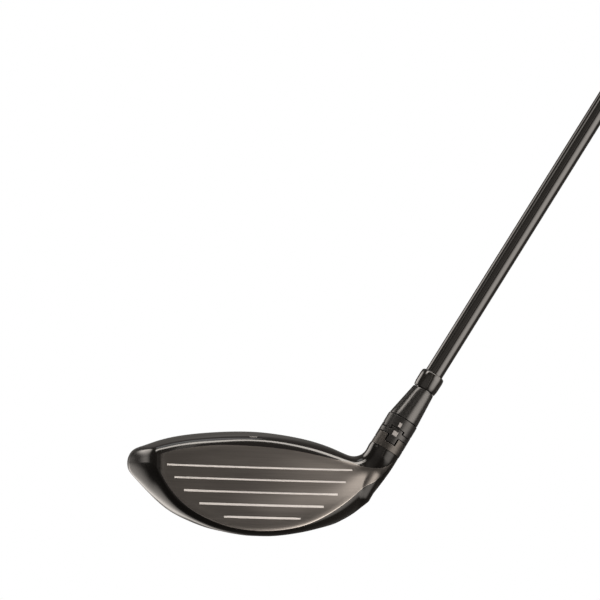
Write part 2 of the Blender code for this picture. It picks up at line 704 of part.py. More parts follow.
def on_tilted(h, across=0.0, back=0.0):
    """A point h down the hosel, but round the tilted axis of the shaft."""
    return on_shaft(-h, across, back)


def adaptor():
    """The sleeve: collar, thin wall inside the rings and hosel, bush seat in its foot, bore tilted with the shaft."""
    obj = turned("adaptor", [(0, 0.2), (5.2, 0.2), (HOSEL_R - 0.25, COLLAR_FOOT - 0.2), (HOSEL_R - 0.4, COLLAR_FOOT),
                             (ADAPTOR_R, COLLAR_FOOT), (ADAPTOR_R, ADAPTOR_FOOT - 0.6), (ADAPTOR_R - 0.6, ADAPTOR_FOOT),
                             (0, ADAPTOR_FOOT)], on_collar, "black_alloy")
    bore = turned("cut_shaft_bore", [(0, -3), (TIP_R + 0.2, -3), (TIP_R + 0.2, SHAFT_TIP + 0.4), (0, SHAFT_TIP + 0.4)],
                  on_tilted, "black_alloy", True)
    seat = turned("cut_bush_seat", [(0, INSERT_TOP - 1.0), (3.0, INSERT_TOP - 1.0), (3.0, INSERT_TOP - 0.3),
                                    (4.2, INSERT_TOP - 0.3), (4.2, 60), (0, 60)], on_hosel, "black_alloy", True)
    boolean(obj, "DIFFERENCE", bore)
    boolean(obj, "DIFFERENCE", seat)
    return obj


def on_collar(h, across=0.0, back=0.0):
    """A point down the hosel whose axis leans over to the shaft within the collar."""
    lean = max(0.0, 1.0 - h / COLLAR_FOOT)
    shift = np.array(on_shaft(0.0)) - on_hosel(0.0)
    return on_hosel(h, across, back) + shift * lean


def screw():
    """The screw from below: shank, head and the six-lobed recess in it."""
    top, foot = SCREW_HEAD
    shank = SCREW_R - 0.1
    obj = turned("heel_screw", [(0, INSERT_TOP + 1.6), (shank - 0.6, INSERT_TOP + 1.6), (shank, INSERT_TOP + 2.4),
                                (shank, top), (SCREW_HEAD_R, top), (SCREW_HEAD_R, foot - 0.5),
                                (SCREW_HEAD_R - 0.5, foot), (0, foot)], on_hosel, "bright_steel")
    points, faces = [], []
    count = 24
    for h in (foot - LOBE_DEEP, foot + 2.0):
        for k in range(count):
            a = 2 * math.pi * k / count
            r = LOBE_R + LOBE_WAVE * math.cos(6 * a)
            points.append(on_hosel(h, r * math.cos(a), r * math.sin(a)))
    for k in range(count):
        m = (k + 1) % count
        faces.append([k, m, m + count, k + count])
    faces.append(list(range(count)))
    faces.append(list(range(count, 2 * count)))
    lobes = make("cut_lobes", points, faces, "bright_steel", True)
    boolean(obj, "DIFFERENCE", lobes)
    return obj


def sleeve(name, inner, outer, top, foot, paint):
    """A plain ring on the axis of the hosel."""
    return turned(name, [(inner, top), (outer, top), (outer, foot), (inner, foot)], on_hosel, paint)


def bush_and_rings():
    sleeve("thread_insert", SCREW_R + 0.12, INSERT_R, INSERT_TOP, ADAPTOR_FOOT - 0.3, "bright_steel")
    sleeve("screw_retainer", SCREW_R + 0.15, RETAINER_R, *RETAINER, "nylon")
    sleeve("screw_washer", SCREW_R + 0.3, SEAT_R - 0.4, WEB_FOOT + 0.3, SCREW_HEAD[0] - 0.25, "bright_steel")


def weights():
    """The weight bar low behind the face and the plug in the rear of the sole."""
    points, faces = [], []
    count, around = 9, 8
    for x in np.linspace(*BAR_ENDS, count):
        size = BAR_R * math.sqrt(1 - (x / 26.0) ** 2)
        floor = Plane(x + 64.0).loop([KNOTS[15]])[0][2]
        z = floor + SHELL + GAP + 0.4 + size
        for k in range(around):
            a = 2 * math.pi * (k + 0.5) / around
            points.append((x, BAR_Y + 1.9 * size * math.cos(a), z + size * math.sin(a)))
    for i in range(count - 1):
        for k in range(around):
            m = (k + 1) % around
            faces.append([i * around + k, i * around + m, (i + 1) * around + m, (i + 1) * around + k])
    faces.append(list(range(around)))
    faces.append([(count - 1) * around + k for k in range(around)])
    make("inner_weight", points, faces, "tungsten")
    turned("sole_weight", [(0, 0.35), (PLUG_R - 0.6, 0.35), (PLUG_R, 0.75), (PLUG_R, PLUG_DEEP), (0, PLUG_DEEP)],
           on_sole_weight, "tungsten")


def shaft_radius(t):
    if t <= PARALLEL:
        return TIP_R
    return TIP_R + (BUTT_R - TIP_R) * (t - PARALLEL) / (BUTT - PARALLEL)


def shaft():
    ends = [-SHAFT_TIP, PARALLEL, BUTT]
    outer = [(shaft_radius(t), t) for t in ends]
    inner = [(shaft_radius(t) - WALL, t) for t in reversed(ends)]
    outer[0] = (TIP_R - 0.3, -SHAFT_TIP)
    outer.insert(1, (TIP_R, -SHAFT_TIP + 0.4))
    turned("shaft", outer + inner, on_shaft, "shaft_paint")
    plug_r = TIP_R - WALL - GAP
    turned("tip_plug", [(0, 3.0), (plug_r, 3.0), (plug_r, -SHAFT_TIP + 1.0), (0, -SHAFT_TIP + 1.0)], on_shaft, "nylon")


def ferrule():
    bore, wide, top = TIP_R + 0.15, FERRULE_R, FERRULE
    turned("ferrule", [(bore, 0.5), (wide - 0.4, 0.5), (wide - 0.15, 1.6), (wide, top - 2.2), (wide - 0.35, top - 0.9),
                       (wide - 1.1, top), (bore, top)], on_shaft, "ferrule_plastic")


def grip():
    start, end = GRIP_FROM, BUTT
    spots = [start + 1.5, end - 1.0]
    under, over = TAPE
    tape = [(shaft_radius(t) + under, t) for t in spots] + [(shaft_radius(t) + over, t) for t in reversed(spots)]
    turned("grip_tape", tape, on_shaft, "tape")
    low, high = GRIP_R
    skin = [(low - 0.9, start), (low, start + 1.2), (low, start + 5.0), (low - 0.5, start + 6.5)]
    for f in (0.15, 0.35, 0.55, 0.75, 0.9):
        skin.append((low - 0.5 + (high - low) * (0.25 * f + 0.75 * f * f), start + (end - start) * f))
    seat = CAP_R + GAP
    skin += [(high, end + 1.5), (high + 0.25, end + 4.0), (high - 0.3, end + 5.6), (seat, end + 6.0), (seat, end + 1.2)]
    hollow = [(shaft_radius(end) + over + 0.15, end + 1.2), (shaft_radius(start) + over + 0.15, start)]
    turned("grip", skin + hollow, on_shaft, "grip_rubber")
    turned("grip_cap", [(VENT_R, end + 1.5), (CAP_R, end + 1.5), (CAP_R, end + 5.9), (CAP_R - 0.4, end + 6.6),
                        (VENT_R, end + 6.6)], on_shaft, "grip_rubber")


def hang(name, place, members):
    """Puts pieces under an empty on the axis of their joint, and leaves them where they are."""
    pivot = bpy.data.objects.new(name, None)
    bpy.context.collection.objects.link(pivot)
    pivot.location = place * MM
    for member in members:
        obj = bpy.data.objects[member]
        obj.parent = pivot
        obj.location = -pivot.location


def main():
    clear_scene()
    head_body()
    face_plate()
    crown()
    rings()
    adaptor()
    bush_and_rings()
    screw()
    weights()
    shaft()
    ferrule()
    grip()
    hang("head_slide", on_hosel(RING_TOP), ["head_body", "face_plate", "crown", "hosel_ring", "inner_weight",
                                            "sole_weight", "screw_washer", "screw_retainer"])
    hang("screw_turn", on_hosel(SCREW_HEAD[0]), ["heel_screw"])


main()
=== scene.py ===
"""Finished looks of a fairway wood with an adjustable hosel, built round its fixed frame.

+X is towards the heel, the face looks to -Y and +Z is up. The shape functions work in millimetres.
"""
import math

import bmesh
import bpy
import numpy as np
from bpy.props import FloatProperty, FloatVectorProperty, IntProperty, PointerProperty
from mathutils import Matrix, Vector
from mathutils.kdtree import KDTree


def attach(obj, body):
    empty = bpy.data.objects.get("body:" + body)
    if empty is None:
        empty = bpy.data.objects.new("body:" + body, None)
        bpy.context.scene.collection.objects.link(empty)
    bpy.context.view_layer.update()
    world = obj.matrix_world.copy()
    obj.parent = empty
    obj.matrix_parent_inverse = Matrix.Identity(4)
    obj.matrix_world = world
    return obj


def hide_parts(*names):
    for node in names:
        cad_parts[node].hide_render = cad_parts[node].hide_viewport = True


bl_info = {
    "name": "Fairway Wood",
    "version": (1, 0, 0),
    "blender": (4, 5, 0),
    "location": "3D View > Sidebar > Fairway Wood",
    "description": "Builds the finished pieces of a fairway wood round its frame",
    "category": "Add Mesh",
}

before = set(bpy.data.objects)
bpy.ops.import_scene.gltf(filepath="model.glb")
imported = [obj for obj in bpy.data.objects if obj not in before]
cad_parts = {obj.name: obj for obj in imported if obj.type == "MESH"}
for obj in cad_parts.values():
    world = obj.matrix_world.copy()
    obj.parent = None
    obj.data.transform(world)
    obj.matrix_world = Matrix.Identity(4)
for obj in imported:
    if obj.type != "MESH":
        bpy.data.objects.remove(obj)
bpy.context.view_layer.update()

MM = 0.001
GAP = 0.3
SHARP = 35.0
# Angles of the club, degrees
LOFT = 16.0
HOSEL_LIE = 60.4
SHAFT_LIE = 59.5

# The face: its height at the middle, bulge and roll radii, mm
FACE_Y = -12.0
FACE_Z = 20.0
BULGE = 280.0
ROLL = 350.0
TOE_FROM = -46.0
TOE_BACK = 22.0

# Outlines of the head as seen square to the face, toe first, mm (x, z)
TOE = (-56.0, 29.5)
TOP_LINE = [TOE, (-55.4, 33.3), (-53.5, 36.2), (-50.0, 38.0), (-45.0, 39.8), (-38.0, 41.8), (-28.0, 43.6),
            (-16.0, 44.9), (-4.0, 45.6), (4.0, 45.6), (12.0, 45.0), (22.0, 43.6), (30.0, 41.8), (37.0, 39.6),
            (42.5, 37.8), (46.0, 37.5), (49.2, 39.6), (51.7, 42.6), (54.0, 46.0), (56.1, 49.6), (60.4, 57.3)]
SOLE_LINE = [TOE, (-55.4, 25.9), (-53.3, 22.9), (-50.0, 19.4), (-45.0, 14.5), (-38.0, 8.8), (-30.0, 4.9),
             (-22.0, 2.1), (-13.0, 0.35), (-5.0, -0.5), (0.0, -0.6), (6.0, -0.4), (14.0, 0.5), (22.0, 1.75),
             (29.0, 3.1), (36.0, 4.9), (43.4, 8.1), (49.7, 12.6), (53.8, 16.4), (56.9, 20.1), (59.4, 23.9),
             (61.6, 27.9), (65.1, 35.4), (69.0, 42.2), (73.3, 49.8)]
FACE_LOW = [TOE, (-54.6, 30.0), (-51.5, 31.0), (-48.6, 30.6), (-46.6, 28.2), (-44.6, 24.4), (-39.2, 16.8),
            (-32.5, 11.1), (-23.4, 6.5), (-14.3, 3.7), (-5.1, 2.6), (0.6, 2.5), (9.0, 3.2), (18.5, 5.2),
            (28.1, 9.1), (37.8, 15.0), (43.7, 19.9), (50.5, 28.2), (56.4, 37.0), (61.0, 43.6), (65.5, 51.5)]
FACE_UP = [TOE, (-54.4, 31.6), (-51.5, 33.2), (-48.0, 34.6), (-42.0, 36.6), (-36.6, 37.9), (-27.4, 39.5),
           (-18.2, 40.4), (-4.4, 40.4), (9.6, 39.6), (19.1, 38.4), (28.5, 36.7), (36.5, 35.2), (42.5, 34.5),
           (47.5, 35.2), (51.5, 37.8), (54.8, 42.0), (57.4, 46.6), (61.4, 53.6)]
CROWN_EDGE = [TOE, (-55.1, 32.6), (-53.2, 34.9), (-50.0, 36.6), (-45.0, 38.3), (-38.0, 40.1), (-27.0, 41.9),
              (-13.0, 43.1), (-4.0, 43.3), (8.0, 42.7), (19.6, 41.1), (29.0, 39.2), (36.0, 37.6), (41.0, 36.6),
              (45.5, 36.3), (49.7, 38.2), (52.9, 41.8), (55.4, 46.2), (59.6, 53.8)]

# Planes that cut the head: station, anchor x, anchor z, turn in degrees, rear y, share of the round hosel
PLANES = [
    (0.0, -56.0, 50.0, 0.0, 18.4, 0.0),
    (3.5, -55.4, 50.0, 0.0, 27.0, 0.0),
    (7.5, -53.6, 50.0, 0.0, 34.0, 0.0),
    (12.5, -50.0, 50.0, 0.0, 41.5, 0.0),
    (18.5, -45.0, 50.0, 0.0, 48.6, 0.0),
    (26.0, -38.0, 50.0, 0.0, 55.6, 0.0),
    (36.0, -28.0, 50.0, 0.0, 62.6, 0.0),
    (48.0, -16.0, 50.0, 0.0, 67.8, 0.0),
    (60.0, -4.0, 50.0, 0.0, 70.4, 0.0),
    (73.0, 9.0, 50.0, 0.0, 70.0, 0.0),
    (86.0, 21.5, 50.0, 0.3, 65.6, 0.0),
    (96.0, 30.0, 50.0, 2.5, 58.0, 0.02),
    (104.0, 35.3, 50.0, 8.0, 48.6, 0.08),
    (111.0, 38.0, 50.0, 16.0, 38.8, 0.23),
    (117.0, 39.1, 50.0, 24.5, 30.0, 0.46),
    (123.0, 39.5, 50.0, 33.5, 22.0, 0.72),
    (129.0, 39.7, 50.0, 43.0, 14.6, 0.92),
    (135.0, 39.7, 50.1, 52.5, 9.6, 1.0),
    (141.0, 39.6, 50.0, 60.4, 7.4, 1.0),
    (145.0, 40.1, 50.9, 60.4, 7.4, 1.0),
]
LAST = 145.0

# The middle section: y, z from the low edge of the face over the crown and back along the sole, mm
MIDDLE = [(-16.7, 2.6), (-15.5, 7.0), (-12.3, 19.0), (-8.9, 31.0), (-6.0, 40.3), (-4.1, 43.2), (2.0, 44.8),
          (18.0, 45.7), (38.0, 43.0), (56.0, 36.0), (67.0, 28.5), (70.5, 21.5), (65.5, 13.2), (49.0, 5.4),
          (26.0, 1.2), (4.0, 0.0), (-8.4, 0.35), (-14.9, 1.1)]
SKIRT = 0.47

# The hosel and what stands in it: distances down its axis from the foot of the ferrule, mm
HOSEL_FOOT = (75.5, 68.67)
HOSEL_R = 7.4
BORE_R = 6.35
RING_TOP = 26.2
RING_FOOT = 32.8
WEB_FOOT = 52.2
COLLAR_FOOT = 16.4
COG_SPLIT = 21.9
COG_FOOT = 25.9
TAB_LONG = 3.4
TAB_SHORT = 1.4
TAB_HALF = 18.5
TAB_TURN = -13.0
NOTCH_ROOM = 2.5
STEPS = 72
ADAPTOR_R = 6.0
ADAPTOR_FOOT = 46.6
SHAFT_TIP = 31.0
INSERT_TOP = 36.0
SCREW_R = 2.5
SCREW_HEAD = (53.7, 57.8)
SCREW_HEAD_R = 4.1
LOBE_R = 2.15
LOBE_WAVE = 0.35
LOBE_DEEP = 2.6
WEB_TOP = 49.6
WEB_HOLE_R = 2.9
PORT_FOOT = 84.0
# The foot of the bore and of the sleeve in it is narrowed, so that the heel keeps its outline round them
NARROW_FROM = 37.5
NARROW_R = 4.7
SCREW_SEAT_R = 4.6
MOUTH_R = 2.8
# Least distance of the skin of the heel from the axis of the hosel: (how far down the hosel, distance)
HEEL_WALL = [(30, 0), (34, 6.7), (38, 6.7), (42, 5.5), (57, 5.9), (72, 0)]

# The weight plug in the rear of the sole, mm
PLUG_STATION = 64.0
PLUG_R = 6.6
PLUG_DEEP = 4.9

# The shaft and grip: distances up the shaft from the foot of the ferrule, mm
SHAFT_FOOT = (76.5, 68.1)
TIP_R = 4.25
BUTT_R = 7.6
PARALLEL = 180.0
BUTT = 1012.0
WALL = 1.1
FERRULE = 8.9
FERRULE_R = 5.75
GRIP_FROM = 752.0
GRIP_R = (9.6, 13.3)
CAP_R = 8.7
VENT_R = 1.2
TAPE = (0.15, 0.4)

SCORES = [(30.75, 43.0), (25.3, 39.7), (19.7, 35.5), (14.1, 28.7), (8.55, 17.7)]
SCORE_DEEP = 0.5
SCORE_HALF = 0.45


def spline(knots, values, at, closed=False):
    """Natural cubic spline through the values, or a closed one when its last value repeats the first."""
    x = np.asarray(knots, float)
    y = np.asarray(values, float).reshape(len(x), -1)
    n = len(x)
    step = np.diff(x)[:, None]
    slope = np.diff(y, axis=0) / step
    lhs = np.zeros((n, n))
    rhs = np.zeros((n, y.shape[1]))
    for i in range(1, n - 1):
        lhs[i, i - 1:i + 2] = step[i - 1, 0], 2 * (step[i - 1, 0] + step[i, 0]), step[i, 0]
        rhs[i] = 6 * (slope[i] - slope[i - 1])
    if closed:
        lhs[0, 0] = 2 * (step[-1, 0] + step[0, 0])
        lhs[0, 1] = step[0, 0]
        lhs[0, n - 2] += step[-1, 0]
        rhs[0] = 6 * (slope[0] - slope[-1])
        lhs[n - 1, 0] = 1
        lhs[n - 1, n - 1] = -1
    else:
        lhs[0, 0] = lhs[n - 1, n - 1] = 1
    bend = np.linalg.solve(lhs, rhs)
    at = np.asarray(at, float)
    if closed:
        at = x[0] + np.mod(at - x[0], x[-1] - x[0])
    i = np.clip(np.searchsorted(x, at, side="right") - 1, 0, n - 2)
    h = step[i]
    a = (x[i + 1] - at)[:, None] / h
    b = (at - x[i])[:, None] / h
    return a * y[i] + b * y[i + 1] + ((a ** 3 - a) * bend[i] + (b ** 3 - b) * bend[i + 1]) * h * h / 6


def lengths_along(points):
    """How far along a line of points each one stands."""
    return np.concatenate([[0], np.cumsum(np.linalg.norm(np.diff(np.array(points), axis=0), axis=1))])


def smooth_line(points, count=3000):
    """A fine line of points on the spline through a few."""
    along = lengths_along(points)
    return spline(along, points, np.linspace(0, along[-1], count))


LINES = {name: smooth_line(line) for name, line in
         (("top", TOP_LINE), ("sole", SOLE_LINE), ("low", FACE_LOW), ("up", FACE_UP), ("edge", CROWN_EDGE))}
KNOTS = lengths_along(MIDDLE + MIDDLE[:1])
ROUND = KNOTS[-1]
U_LOW, U_UP, U_EDGE, U_SKIRT = KNOTS[0], KNOTS[4], KNOTS[5], KNOTS[10]


def face_y(x, z):
    """The y of the face: lofted, with bulge and roll, and turned back round the toe."""
    up = z - FACE_Z
    y = FACE_Y + up * math.tan(math.radians(LOFT)) + x * x / (2 * BULGE) + up * up / (2 * ROLL)
    return y + TOE_BACK * max(0.0, (TOE_FROM - x) / 10.0) ** 2.2


def circle_angles():
    """Angle of each control point of the middle section round its own box, growing along the section."""
    points = np.array(MIDDLE)
    low, high = points.min(axis=0), points.max(axis=0)
    y, z = ((points - (low + high) / 2) / ((high - low) / 2)).T
    turns = np.unwrap(np.arctan2(z, y))
    return np.append(turns, turns[0] - 2 * math.pi)


TURNS = circle_angles()


class Plane:
    """One cut through the head: where it stands and its closed section of (y, distance down from the anchor)."""

    def __init__(self, station):
        s = [row[0] for row in PLANES]
        x, z, turn, rear, share = spline(s, [row[1:] for row in PLANES], [station])[0]
        self.anchor = np.array([x, z])
        turn = math.radians(turn)
        self.down = np.array([math.sin(turn), -math.cos(turn)])
        self.rear = rear
        self.share = min(1.0, max(0.0, share))
        self.points = self.section()

    def cut(self, name):
        line = LINES[name]
        side = (line - self.anchor) @ np.array([-self.down[1], self.down[0]])
        i = int(np.argmax(side > 0))
        if i == 0:
            return float((line[0] - self.anchor) @ self.down)
        t = -side[i - 1] / (side[i] - side[i - 1])
        return float((line[i - 1] + (line[i] - line[i - 1]) * t - self.anchor) @ self.down)

    def front(self, r):
        x, z = self.anchor + self.down * r
        return face_y(x, z)

    def section(self):
        top, sole, low, up, edge = (self.cut(name) for name in ("top", "sole", "low", "up", "edge"))
        edge = max(edge, top + 0.02 * (sole - top))
        up = max(up, edge + 0.02 * (sole - top))
        low = min(max(low, up + 0.02 * (sole - top)), sole - 0.02 * (sole - top))
        skirt = sole - SKIRT * (sole - top)
        middle = np.array(MIDDLE)
        out = []
        for k in range(5):
            r = low + (up - low) * (middle[k, 1] - middle[0, 1]) / (middle[4, 1] - middle[0, 1])
            out.append((self.front(r), r))
        first = out[0][0]
        width = self.rear - first
        small = min(1.0, (sole - top) / 25.0)
        y5 = out[4][0] + 1.9 * small
        out.append((y5, edge))
        y0, yr = middle[5, 0], middle[11, 0]
        zs, zt = middle[11, 1], middle[7, 1]
        for k in range(6, 11):
            out.append((y5 + (self.rear - y5) * (middle[k, 0] - y0) / (yr - y0),
                        skirt - (skirt - top) * (middle[k, 1] - zs) / (zt - zs)))
        out.append((self.rear, skirt))
        ground = first + 0.24 * width
        for k in range(12, 16):
            out.append((ground + (self.rear - ground) * (middle[k, 0] - 4.0) / (yr - 4.0),
                        sole - (sole - skirt) * middle[k, 1] / zs))
        band = max(0.0, sole - low - 3.0)
        out.append((first + 0.095 * width + 0.22 * band, sole - 0.12 * (sole - low)))
        out.append((first + 0.022 * width + 0.1 * band, sole - 0.45 * (sole - low)))
        out = np.array(out)
        self.centre = np.array([(out[:, 0].min() + out[:, 0].max()) / 2, (top + sole) / 2])
        self.half = np.array([(out[:, 0].max() - out[:, 0].min()) / 2, (sole - top) / 2])
        goal = np.array([HOSEL_R, HOSEL_R])
        self.centre = self.centre * (1 - self.share) + np.array([0.0, (top + sole) / 2]) * self.share
        self.half = self.half * (1 - self.share) + goal * self.share
        return out

    def loop(self, u):
        """Points (x, y, z) round the section at the lengths u."""
        u = np.atleast_1d(u)
        ring = np.vstack([self.points, self.points[:1]])
        along = lengths_along(ring)
        shape = spline(along, ring, np.interp(np.mod(u, ROUND), KNOTS, along), closed=True)
        wave = TURNS - (TURNS[0] - 2 * math.pi * KNOTS / ROUND)
        turn = TURNS[0] - 2 * math.pi * np.mod(u, ROUND) / ROUND + spline(KNOTS, wave, u, closed=True)[:, 0]
        ring = self.centre + self.half * np.stack([np.cos(turn), -np.sin(turn)], axis=1)
        shape = shape * (1 - self.share) + ring * self.share
        flat = self.anchor + shape[:, 1:] * self.down
        return np.stack([flat[:, 0], shape[:, 0], flat[:, 1]], axis=1)


def clear_of_bore(points):
    """The same points, those of the heel moved out to leave a wall round the bore of the hosel."""
    foot = on_hosel(0.0)
    axis = on_hosel(1.0) - foot
    down = (points - foot) @ axis
    ring = points - foot - down[..., None] * axis
    reach = np.maximum(np.linalg.norm(ring, axis=-1), 0.01)
    wall = np.interp(down, *zip(*HEEL_WALL))
    moved = (reach + wall + np.sqrt((reach - wall) ** 2 + 0.09)) / 2
    return points + ring * (np.where(wall > 0, np.maximum(moved, reach) / reach, 1.0) - 1.0)[..., None]


def surface(stations, u):
    """Grid of points of the skin of the head, one row for each station. u may be a list for each station."""
    rows = []
    for i, s in enumerate(stations):
        row = u[i] if np.ndim(u) == 2 else u
        rows.append(Plane(s).loop(np.asarray(row, float)))
    grid = clear_of_bore(np.array(rows))
    grid[:, :, 2] = np.maximum(grid[:, :, 2], 0.0)
    return grid


def normals(stations, u):
    """Grid of the outward normals of the same points."""
    wide = np.asarray(u, float) if np.ndim(u) == 2 else np.tile(np.asarray(u, float), (len(stations), 1))
    stations = np.asarray(stations, float)
    before, after = np.maximum(stations - 0.4, 0.05), np.minimum(stations + 0.4, LAST)
    along = surface(after, wide) - surface(before, wide)
    across = surface(stations, wide + 0.3) - surface(stations, wide - 0.3)
    out = np.cross(along, across)
    return out / np.linalg.norm(out, axis=2, keepdims=True)


def axis_frame(lie):
    """Unit vectors (up the axis, across it towards the heel, to the rear) as columns."""
    a = math.radians(lie)
    up = np.array([math.cos(a), 0.0, math.sin(a)])
    out = np.array([math.sin(a), 0.0, -math.cos(a)])
    return up, out, np.array([0.0, 1.0, 0.0])


def on_hosel(h, across=0.0, back=0.0):
    """A point h down the axis of the hosel."""
    up, out, rear = axis_frame(HOSEL_LIE)
    return np.array([HOSEL_FOOT[0], 0.0, HOSEL_FOOT[1]]) - up * h + out * across + rear * back


def on_shaft(t, across=0.0, back=0.0):
    """A point t up the axis of the shaft."""
    up, out, rear = axis_frame(SHAFT_LIE)
    return np.array([SHAFT_FOOT[0], 0.0, SHAFT_FOOT[1]]) + up * t + out * across + rear * back


def span(start, end, count):
    return list(np.linspace(start, end, count))


def merged(*lists):
    """The sorted union of lists of numbers, near repeats dropped."""
    out = []
    for value in sorted(v for values in lists for v in values):
        if not out or value - out[-1] > 1e-6:
            out.append(value)
    return out


# The openings of the body as ranges of station and of length round the section, and the depth of its plates
FACE_OPEN = (15.8, 102.5, U_LOW + 1.4, U_UP - 0.3)
CROWN_OPEN = (9.5, 110.0, U_EDGE + 1.6, U_SKIRT)
SKIN_THICK = 1.2
TOE_ROWS = [0.25, 0.5, 0.8, 1.2, 1.7, 2.3, 3.0, 3.8, 4.6, 5.5, 6.5, 7.5, 8.5]


def fine_rows(step):
    """Stations of the fine skin: close together round the toe, and one at each end of an opening."""
    face, end, crown, rear = FACE_OPEN[0], FACE_OPEN[1], CROWN_OPEN[0], CROWN_OPEN[1]
    return merged(TOE_ROWS, span(crown, face, 8), span(face, end, round((end - face) / step)),
                  span(end, rear, 9), span(rear, LAST, 46))


def fine_columns(step):
    """Lengths round the section: close together where the face turns into the crown and along its low edge."""
    low, top, crown, skirt = *FACE_OPEN[2:], *CROWN_OPEN[2:]
    rear, front = KNOTS[11] + 4.0, KNOTS[16]
    wide, close = 1.6 * step, 0.6 * step
    runs = [(U_LOW, low, 5), (low, top - 2.0, round(36 / step)), (top - 2.0, top, 5), (top, crown, 18),
            (crown, crown + 4.0, 8), (crown + 4.0, skirt, round(80 / wide)), (skirt, rear, round(14 / step)),
            (rear, front, round(76 / wide)), (front, ROUND, round(10 / close))]
    return merged(*(span(*run) for run in runs))[:-1]


def skin_lines(head):
    """Rows and columns of the fine skin."""
    return fine_rows(head.cell / MM), fine_columns(head.cell / MM)


def reach(s, u):
    """How far off a line of the grid one unit of length, and one of station, moves a point."""
    base = surface(s, u)
    across = (surface(s, u + 0.3) - base) / 0.3
    along = (surface(np.minimum(np.asarray(s) + 0.3, LAST), u) - base) / 0.3
    area = np.linalg.norm(np.cross(across, along), axis=2)
    return area / np.linalg.norm(along, axis=2), area / np.linalg.norm(across, axis=2)


def inside(opening, shift, rows, columns):
    """Stations and lengths of the grid in an opening, its edge moved in by shift mm."""
    s0, s1, u0, u1 = opening
    s = np.array([v for v in rows if s0 <= v <= s1])
    u = np.tile([v for v in columns if u0 <= v <= u1], (len(s), 1))
    by_u, by_s = reach(s, u)
    room = 0.3 * (u1 - u0)
    low = u0 + np.minimum(shift / by_u[:, :1], room)
    high = u1 - np.minimum(shift / by_u[:, -1:], room)
    u = low + (high - low) * (u - u0) / (u1 - u0)
    near, far = s0 + shift / by_s[0].mean(), s1 - shift / by_s[-1].mean()
    s = near + (far - near) * (s - s0) / (s1 - s0)
    return s, u


def smooth(mesh):
    mesh.shade_smooth()
    mesh.set_sharp_from_angle(angle=math.radians(SHARP))


def make(name, points, faces):
    """An object from points in millimetres."""
    mesh = bpy.data.meshes.new(name)
    mesh.from_pydata([tuple(float(c) * MM for c in p) for p in points], [], faces)
    bm = bmesh.new()
    bm.from_mesh(mesh)
    bmesh.ops.recalc_face_normals(bm, faces=bm.faces)
    bm.to_mesh(mesh)
    bm.free()
    smooth(mesh)
    obj = bpy.data.objects.new(name, mesh)
    bpy.context.scene.collection.objects.link(obj)
    return obj


def carve(obj, *others):
    """Takes other shapes away, in order, and removes them."""
    for other in others:
        boolean = obj.modifiers.new(other.name, "BOOLEAN")
        boolean.operation = "DIFFERENCE"
        boolean.solver = "EXACT"
        boolean.object = other
    graph = bpy.context.evaluated_depsgraph_get()
    mesh = bpy.data.meshes.new_from_object(obj.evaluated_get(graph))
    obj.modifiers.clear()
    obj.data = mesh
    smooth(mesh)
    for other in others:
        bpy.data.objects.remove(other, do_unlink=True)


def carve_skin(obj, *others):
    """Carves, and gives each new point the depth inside the brushed area of the nearest old one."""
    tree = KDTree(len(obj.data.vertices))
    for k, vertex in enumerate(obj.data.vertices):
        tree.insert(vertex.co, k)
    tree.balance()
    depth = [item.value for item in obj.data.attributes["brushed"].data]
    carve(obj, *others)
    obj.data.attributes.remove(obj.data.attributes["brushed"])
    note_brushed(obj, [depth[tree.find(vertex.co)[1]] for vertex in obj.data.vertices])


def soften(obj, width):
    """Rounds the sharp edges of an object by a width in millimetres."""
    bevel = obj.modifiers.new("Edge", "BEVEL")
    bevel.width = width * MM
    bevel.segments = 3
    bevel.limit_method = "ANGLE"
    bevel.angle_limit = math.radians(40)
    bevel.harden_normals = True
    return obj


def own(obj, body, node, finish):
    """A new piece takes its finish, rides on its body and stands for its node, if it has one."""
    obj.data.materials.clear()
    obj.data.materials.append(finish)
    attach(obj, body)
    if node:
        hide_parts(node)


def carried(node, finish):
    """A node that is shown as it stands, with smooth shading and a finish."""
    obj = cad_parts[node]
    smooth(obj.data)
    obj.data.materials.clear()
    obj.data.materials.append(finish)


def turned(name, profile, place, steps=96, wave=None):
    """A closed profile of (radius, distance) turned round an axis. A radius of 0 is a point on the axis.

    wave gives what is added to a radius at a distance and an angle.
    """
    points, rings = [], []
    for radius, along in profile:
        if radius == 0:
            rings.append([len(points)] * steps)
            points.append(place(along))
            continue
        rings.append(list(range(len(points), len(points) + steps)))
        for k in range(steps):
            a = 2 * math.pi * k / steps
            r = radius + (wave(radius, along, a) if wave else 0.0)
            points.append(place(along, r * math.cos(a), r * math.sin(a)))
    faces = []
    for i, ring in enumerate(rings):
        after = rings[(i + 1) % len(rings)]
        if ring[0] == ring[-1] and after[0] == after[-1]:
            continue
        for k in range(steps):
            m = (k + 1) % steps
            face = list(dict.fromkeys([ring[k], ring[m], after[m], after[k]]))
            if len(face) > 2:
                faces.append(face)
    return make(name, points, faces)


def rounded(profile, radius, count=4):
    """The profile with each corner that isn't on the axis replaced by a short arc."""
    out = []
    size = len(profile)
    for i, corner in enumerate(profile):
        here = np.array(corner, float)
        before = np.array(profile[i - 1], float) - here
        after = np.array(profile[(i + 1) % size], float) - here
        one, two = np.linalg.norm(before), np.linalg.norm(after)
        bend = math.acos(max(-1.0, min(1.0, float(before @ after) / (one * two))))
        if here[0] == 0 or math.pi - bend < math.radians(8):
            out.append(tuple(here))
            continue
        cut = min(radius, 0.4 * one, 0.4 * two)
        start, end = here + before / one * cut, here + after / two * cut
        for t in np.linspace(0, 1, count):
            out.append(tuple((1 - t) ** 2 * start + 2 * t * (1 - t) * here + t * t * end))
    return out


